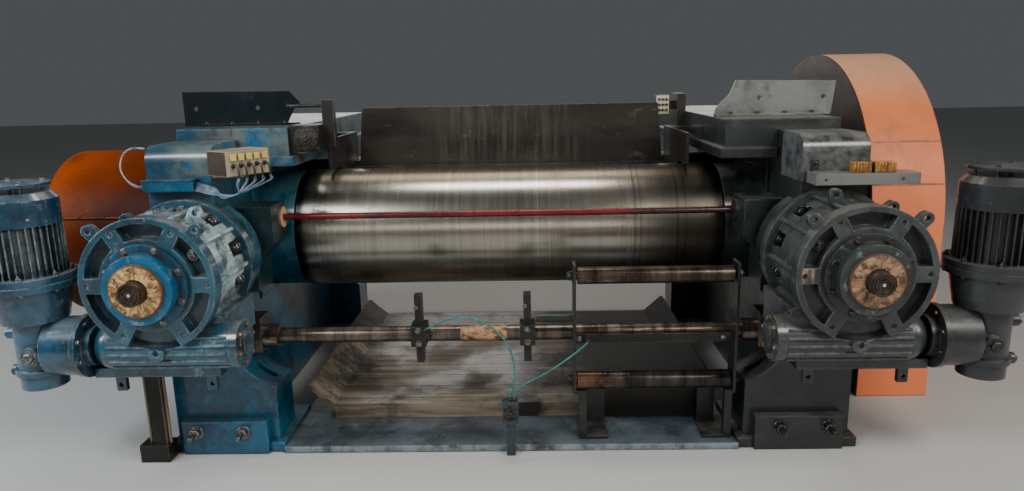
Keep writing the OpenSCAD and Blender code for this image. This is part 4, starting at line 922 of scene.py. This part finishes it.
def fit_bars():
    bolts = Shape()
    for x in CAMBER_X:
        for z in CLAMP_BOLTS_Z:
            bolts.bolt((x, -0.98, z), OUT, 0.011, 0.01, stud=0.006)
        bolts.bolt((x - 0.012, -0.945, 0.64), OUT, 0.008, 0.007)
    for x in TIE_BOLTS_X:
        bolts.bolt((x, -1.0245, KNIFE_Z), OUT, 0.009, 0.008)
    bolts.piece("clamp_bolts", BOLT_BRIGHT)
    wrap = Shape()
    turns = [(TAPE_R + random.uniform(0, 0.0022), TAPE_TURN * k) for k in range(21)]
    turns = [(TAPE_R - 0.001, -0.002), *turns, (TAPE_R - 0.001, TAPE_LENGTH)]
    wrap.turned(turns, (TAPE_X, KNIFE_Y, KNIFE_Z), (1, 0, 0), 26)
    wrap.piece("bar_tape_wrap", TAPE, bevel=0)


def fit_roller(name, z):
    nuts = Shape()
    for x, way in ROLLER_ENDS:
        for profile, sides in (([(0.026, 0), (0.026, 0.003)], 24),
                               ([(0.023, 0.0028), (0.023, 0.015), (0.02, 0.017)], 6),
                               ([(0.0145, 0.01), (0.0145, 0.024), (0.012, 0.026)], 20)):
            nuts.turned(profile, (x, ROLLER_Y, z), (way, 0, 0), sides)
    nuts.piece(name + "_nuts", BOLT_DARK, body=name)


fit_bars()
fit_roller("upper_takeoff_roller", 0.8)
fit_roller("lower_takeoff_roller", 0.31)


# --- Base and pan ---
# The steel bedplate lies on the floor between the feet, its paint worn to grey-blue metal with puddles of
# oil. Behind it stands the drip pan, floored with boards that shine with oil.

BOARD_WIDTH = 0.145


def front_edge(f):
    return f.step(f.axis("Y"), -1.084, -1.089)


BED_STEEL = worn_paint(
    "bed_steel", (0.03, 0.046, 0.058), (0.09, 0.12, 0.142), (0.36, 0.41, 0.44), wear=0.75, edge=0.006,
    dust=(0.085, 0.095, 0.1), dusty=0.35, shine=0.16, coat=0.5,
    patches=[(front_edge, (0.26, 0.3, 0.33), 0.8)])


def pan_wood():
    """Boards along X, with painted shade laid darker away from the middle, and with oily patches."""
    f = Finish("pan_boards")
    across = f.times(f.axis("Y"), 1 / BOARD_WIDTH)
    board = f.op("FLOOR", across)
    tone = f.add("TexWhiteNoise", {"W": board}, noise_dimensions="1D").outputs["Value"]
    grain = f.noise(1.0, 8, 0.7, stretch=(1.6, 26, 26))
    groove = f.step(f.op("ABSOLUTE", f.less(f.op("FRACT", across), 0.5)), 0.475, 0.49)
    wet = f.times(f.blots(0.36, 0.52, 1.8, 5, 0.6), f.band("X", -1.0, 0.3, 0.35))
    colour = f.mix(f.step(grain, 0.36, 0.66), (0.085, 0.066, 0.046), (0.3, 0.25, 0.185))
    colour = f.over(colour, (0.11, 0.09, 0.064), tone, 0.5)
    colour = f.over(colour, (0.014, 0.011, 0.008), f.blots(0.46, 0.62, 2.4, 7, 0.72))
    colour = f.over(colour, (0.006, 0.005, 0.004), groove)
    # Painted shade: the boards towards both ends are laid near black.
    colour = f.over(colour, (0.012, 0.01, 0.008), f.less(1.0, f.band("X", -1.3, 0.55, 0.45)))
    height = f.total(0.0, (grain, 0.5), (groove, -1))
    return f.finish(colour, f.total(0.72, (wet, -0.52)), height, 0.004, 0.6)


dress(BED_STEEL, "bedplate")
dress(pan_wood(), "drip_pan")


# --- Fittings ---
# Small plant screwed to the stands and the deck: the cream lubricator with its oil pipes, the grey lamp
# shelf, the post under the worm housing and the blue valve post. All are sheet steel, soiled by hands.

RODS_X = ((-1.5375, -1.5185), (-1.6215, -1.6025))
LUBRICATOR = Matrix(((-0.8192, 0.5736, 0, -1.25), (0.5736, 0.8192, 0, -1.05), (0, 0, 1, 0), (0, 0, 0, 1)))
CELL_STEP, OUTLET_Z, PIPE_R, THIN_PIPE_R = 0.038, 1.318, 0.0022, 0.0018
DUCT_X, DUCT_TOP = (-1.529, -1.311), 1.2615
AMBER_X, AMBER_TOP, RIB_STEP = ((1.427, 1.501), (1.514, 1.6)), 1.29, 0.012
VALVE_Y = -1.1585
HOSE_ENDS = [  # place, direction
    ((-0.366, -0.9865, 0.550), (-0.875, 0.14, -0.47)), ((0.006, -1.121, 0.257), UP),
    ((0.025, -1.122, 0.257), UP), ((0.356, -1.041, 0.508), OUT),
]


def beside_post(f):
    """The two round rods beside the support post."""
    rods = f.total(f.band("X", *RODS_X[0], 0.001), (f.band("X", *RODS_X[1], 0.001), 1))
    return f.times(rods, f.step(f.axis("Z"), 0.081, 0.086))


dress(worn_paint("lubricator_cream", (0.26, 0.21, 0.13), (0.44, 0.36, 0.24), (0.5, 0.45, 0.35),
                 wear=0.3, grease=0.35, edge=0.004), "lubricator")
dress(worn_paint("shelf_grey", (0.1, 0.1, 0.1), (0.15, 0.15, 0.148), (0.25, 0.25, 0.245),
                 wear=0.3, grease=0.25, edge=0.004), "lamp_shelf")
dress(worn_paint("valve_blue", (0.008, 0.018, 0.026), (0.02, 0.045, 0.062), (0.16, 0.2, 0.22),
                 wear=0.6, grease=0.4, edge=0.004), "valve_post")
dress(grimy("post_steel", (0.008, 0.007, 0.006), (0.022, 0.019, 0.016), (0.13, 0.12, 0.1),
            metallic=0.35, patches=[(beside_post, (0.2, 0.15, 0.095))]), "support_post")
SIGHT_YELLOW = grimy("sight_glass_yellow", (0.45, 0.3, 0.05), (0.72, 0.55, 0.16), (0.8, 0.7, 0.4),
                     shine=0.2, coat=0.5)
AMBER = grimy("lamp_amber", (0.09, 0.03, 0.003), (0.4, 0.16, 0.012), (0.55, 0.3, 0.06),
              grain=(30, 8, 8), shine=0.2, coat=0.6)
BROWN_COVER = grimy("brown_cover", (0.02, 0.012, 0.007), (0.05, 0.03, 0.018), (0.14, 0.1, 0.07))
PIPE_BLUE = grimy("pipe_blue", (0.02, 0.06, 0.15), (0.06, 0.14, 0.28), (0.3, 0.36, 0.42))
PIPE_WHITE = grimy("pipe_white", (0.1, 0.14, 0.18), (0.28, 0.32, 0.36), (0.5, 0.52, 0.52))


def fit_lubricator():
    cells, outlets, pipes = Shape(), Shape(), (Shape(), Shape())
    for k in range(5):
        v = 0.018 + CELL_STEP * k
        cells.block((-0.1465, v - 0.013, 1.339), (-0.1375, v + 0.013, 1.367), LUBRICATOR)
        mouth = LUBRICATOR @ Vector((-0.1378, v, OUTLET_Z))
        ahead = (LUBRICATOR @ Vector((-0.1478, v, OUTLET_Z)) - mouth).normalized()
        outlets.turned([(0.0105, -0.001), (0.0105, 0.004), (0.0085, 0.006)], mouth, ahead, 18)
        bend = ((0, 0), (0.018, 0.002), (0.031, -0.006), (0.037, -0.024), (0.036, -0.05))
        bend = smooth_route([mouth + ahead * out + Vector((0, 0, rise)) for out, rise in bend], 4)
        outlets.tube(bend, 0.005, 10)
        for j, pipe in enumerate(pipes):
            down = bend[-1] + Vector((0.003 - 0.006 * j, 0, 0.001))
            route = [down, down + Vector((-0.008, -0.004, -0.026)),
                     (-1.12 - 0.012 * k, -1.12 + 0.006 * j, 1.2 - 0.004 * k),
                     (-1.215, -1.112 + 0.004 * k, 1.202 + 0.005 * k - 0.004 * j),
                     (-1.309, -1.092 + 0.006 * k, 1.219 + 0.007 * k - 0.003 * j)]
            pipe.tube(smooth_route(route, 5), PIPE_R, 7)
    cells.piece("lubricator_sight_cells", SIGHT_YELLOW, "lubricator_cream")
    outlets.piece("lubricator_outlets", BLACK_PLASTIC)
    cover = Shape()
    cover.block((-0.136, -0.0165, 1.278), (-0.01, -0.0138, 1.377), LUBRICATOR)
    facing = LUBRICATOR.to_3x3() @ Vector(OUT)
    for u, z in ((-0.128, 1.286), (-0.128, 1.369), (-0.018, 1.286), (-0.018, 1.369)):
        cover.screw(LUBRICATOR @ Vector((u, -0.0165, z)), facing, 0.0035, 0.003)
    cover.piece("lubricator_end_cover", BROWN_COVER)
    for j, (name, finish) in enumerate((("blue_oil_pipes", PIPE_BLUE), ("white_oil_pipes", PIPE_WHITE))):
        for k in range(2):
            loop = [(-1.528, -1.082 + 0.008 * k, 1.232 + 0.006 * j),
                    (-1.562, -1.08 + 0.008 * k, 1.23 + 0.006 * j),
                    (-1.606, -1.074, 1.262 + 0.004 * j), (-1.628 - 0.004 * k, -1.064, 1.315),
                    (-1.614, -1.054, 1.368 + 0.005 * j), (-1.574, -1.046, 1.392 + 0.005 * k),
                    (-1.5305, -1.034 + 0.006 * k, 1.386 + 0.005 * j)]
            pipes[j].tube(smooth_route(loop, 5), THIN_PIPE_R, 7)
        pipes[j].piece(name, finish, "shelf_grey", bevel=0)
    duct = Shape()
    duct.block((DUCT_X[0], -1.1, 1.212), (DUCT_X[1], -1.05, 1.2585))
    duct.block((DUCT_X[0] - 0.002, -1.103, 1.258), (DUCT_X[1] + 0.002, -1.05, DUCT_TOP))
    for x in (-1.512, -1.328):
        duct.screw((x, -1.076, DUCT_TOP), UP, 0.005, 0.004)
    duct.piece("pipe_duct", STAND_BLUE, "frame_blue")


def fit_shelf():
    lamps = Shape()
    for lo, hi in AMBER_X:
        lamps.block((lo, -1.136, 1.2468), (hi, -1.09, AMBER_TOP))
        ribs = int((hi - lo) / RIB_STEP)
        for k in range(ribs):
            x = lo + 0.006 + k * (hi - lo - RIB_STEP) / (ribs - 1)
            lamps.block((x - 0.002, -1.138, 1.25), (x + 0.002, -1.1355, AMBER_TOP - 0.003))
    lamps.piece("amber_lamps", AMBER, "guard_orange", bevel=0.0015)
    tab = Shape()
    tab.block((1.286, -1.0555, 1.2465), (1.316, -1.0505, 1.296))
    tab.bolt((1.301, -1.0555, 1.28), OUT, 0.007, 0.005)
    for x in (1.62, 1.31):
        tab.screw((x, -1.16, 1.224), OUT, 0.005, 0.003)
    tab.piece("shelf_screws", BOLT_DARK, "shelf_grey")


def fit_valve():
    ends = Shape()
    collar = [(0.0085, -0.001), (0.0085, 0.01), (0.007, 0.012), (0.007, 0.018), (0.006, 0.019)]
    for place, axis in HOSE_ENDS:
        ends.turned(collar, place, axis, 16)
    ends.piece("push_in_fittings", BLACK_PLASTIC)
    front = Shape()
    front.block((-0.022, VALVE_Y, 0.176), (0.036, VALVE_Y + 0.004, 0.248))
    for x, z in ((-0.012, 0.186), (0.026, 0.186), (-0.012, 0.238), (0.026, 0.238)):
        front.screw((x, VALVE_Y, z), OUT, 0.0045, 0.003)
    front.turned([(0.01, -0.001), (0.01, 0.01), (0.008, 0.013)], (0.007, VALVE_Y, 0.212), OUT, 20)
    front.piece("valve_front", BOLT_DARK, "valve_blue")


fit_lubricator()
fit_shelf()
fit_valve()
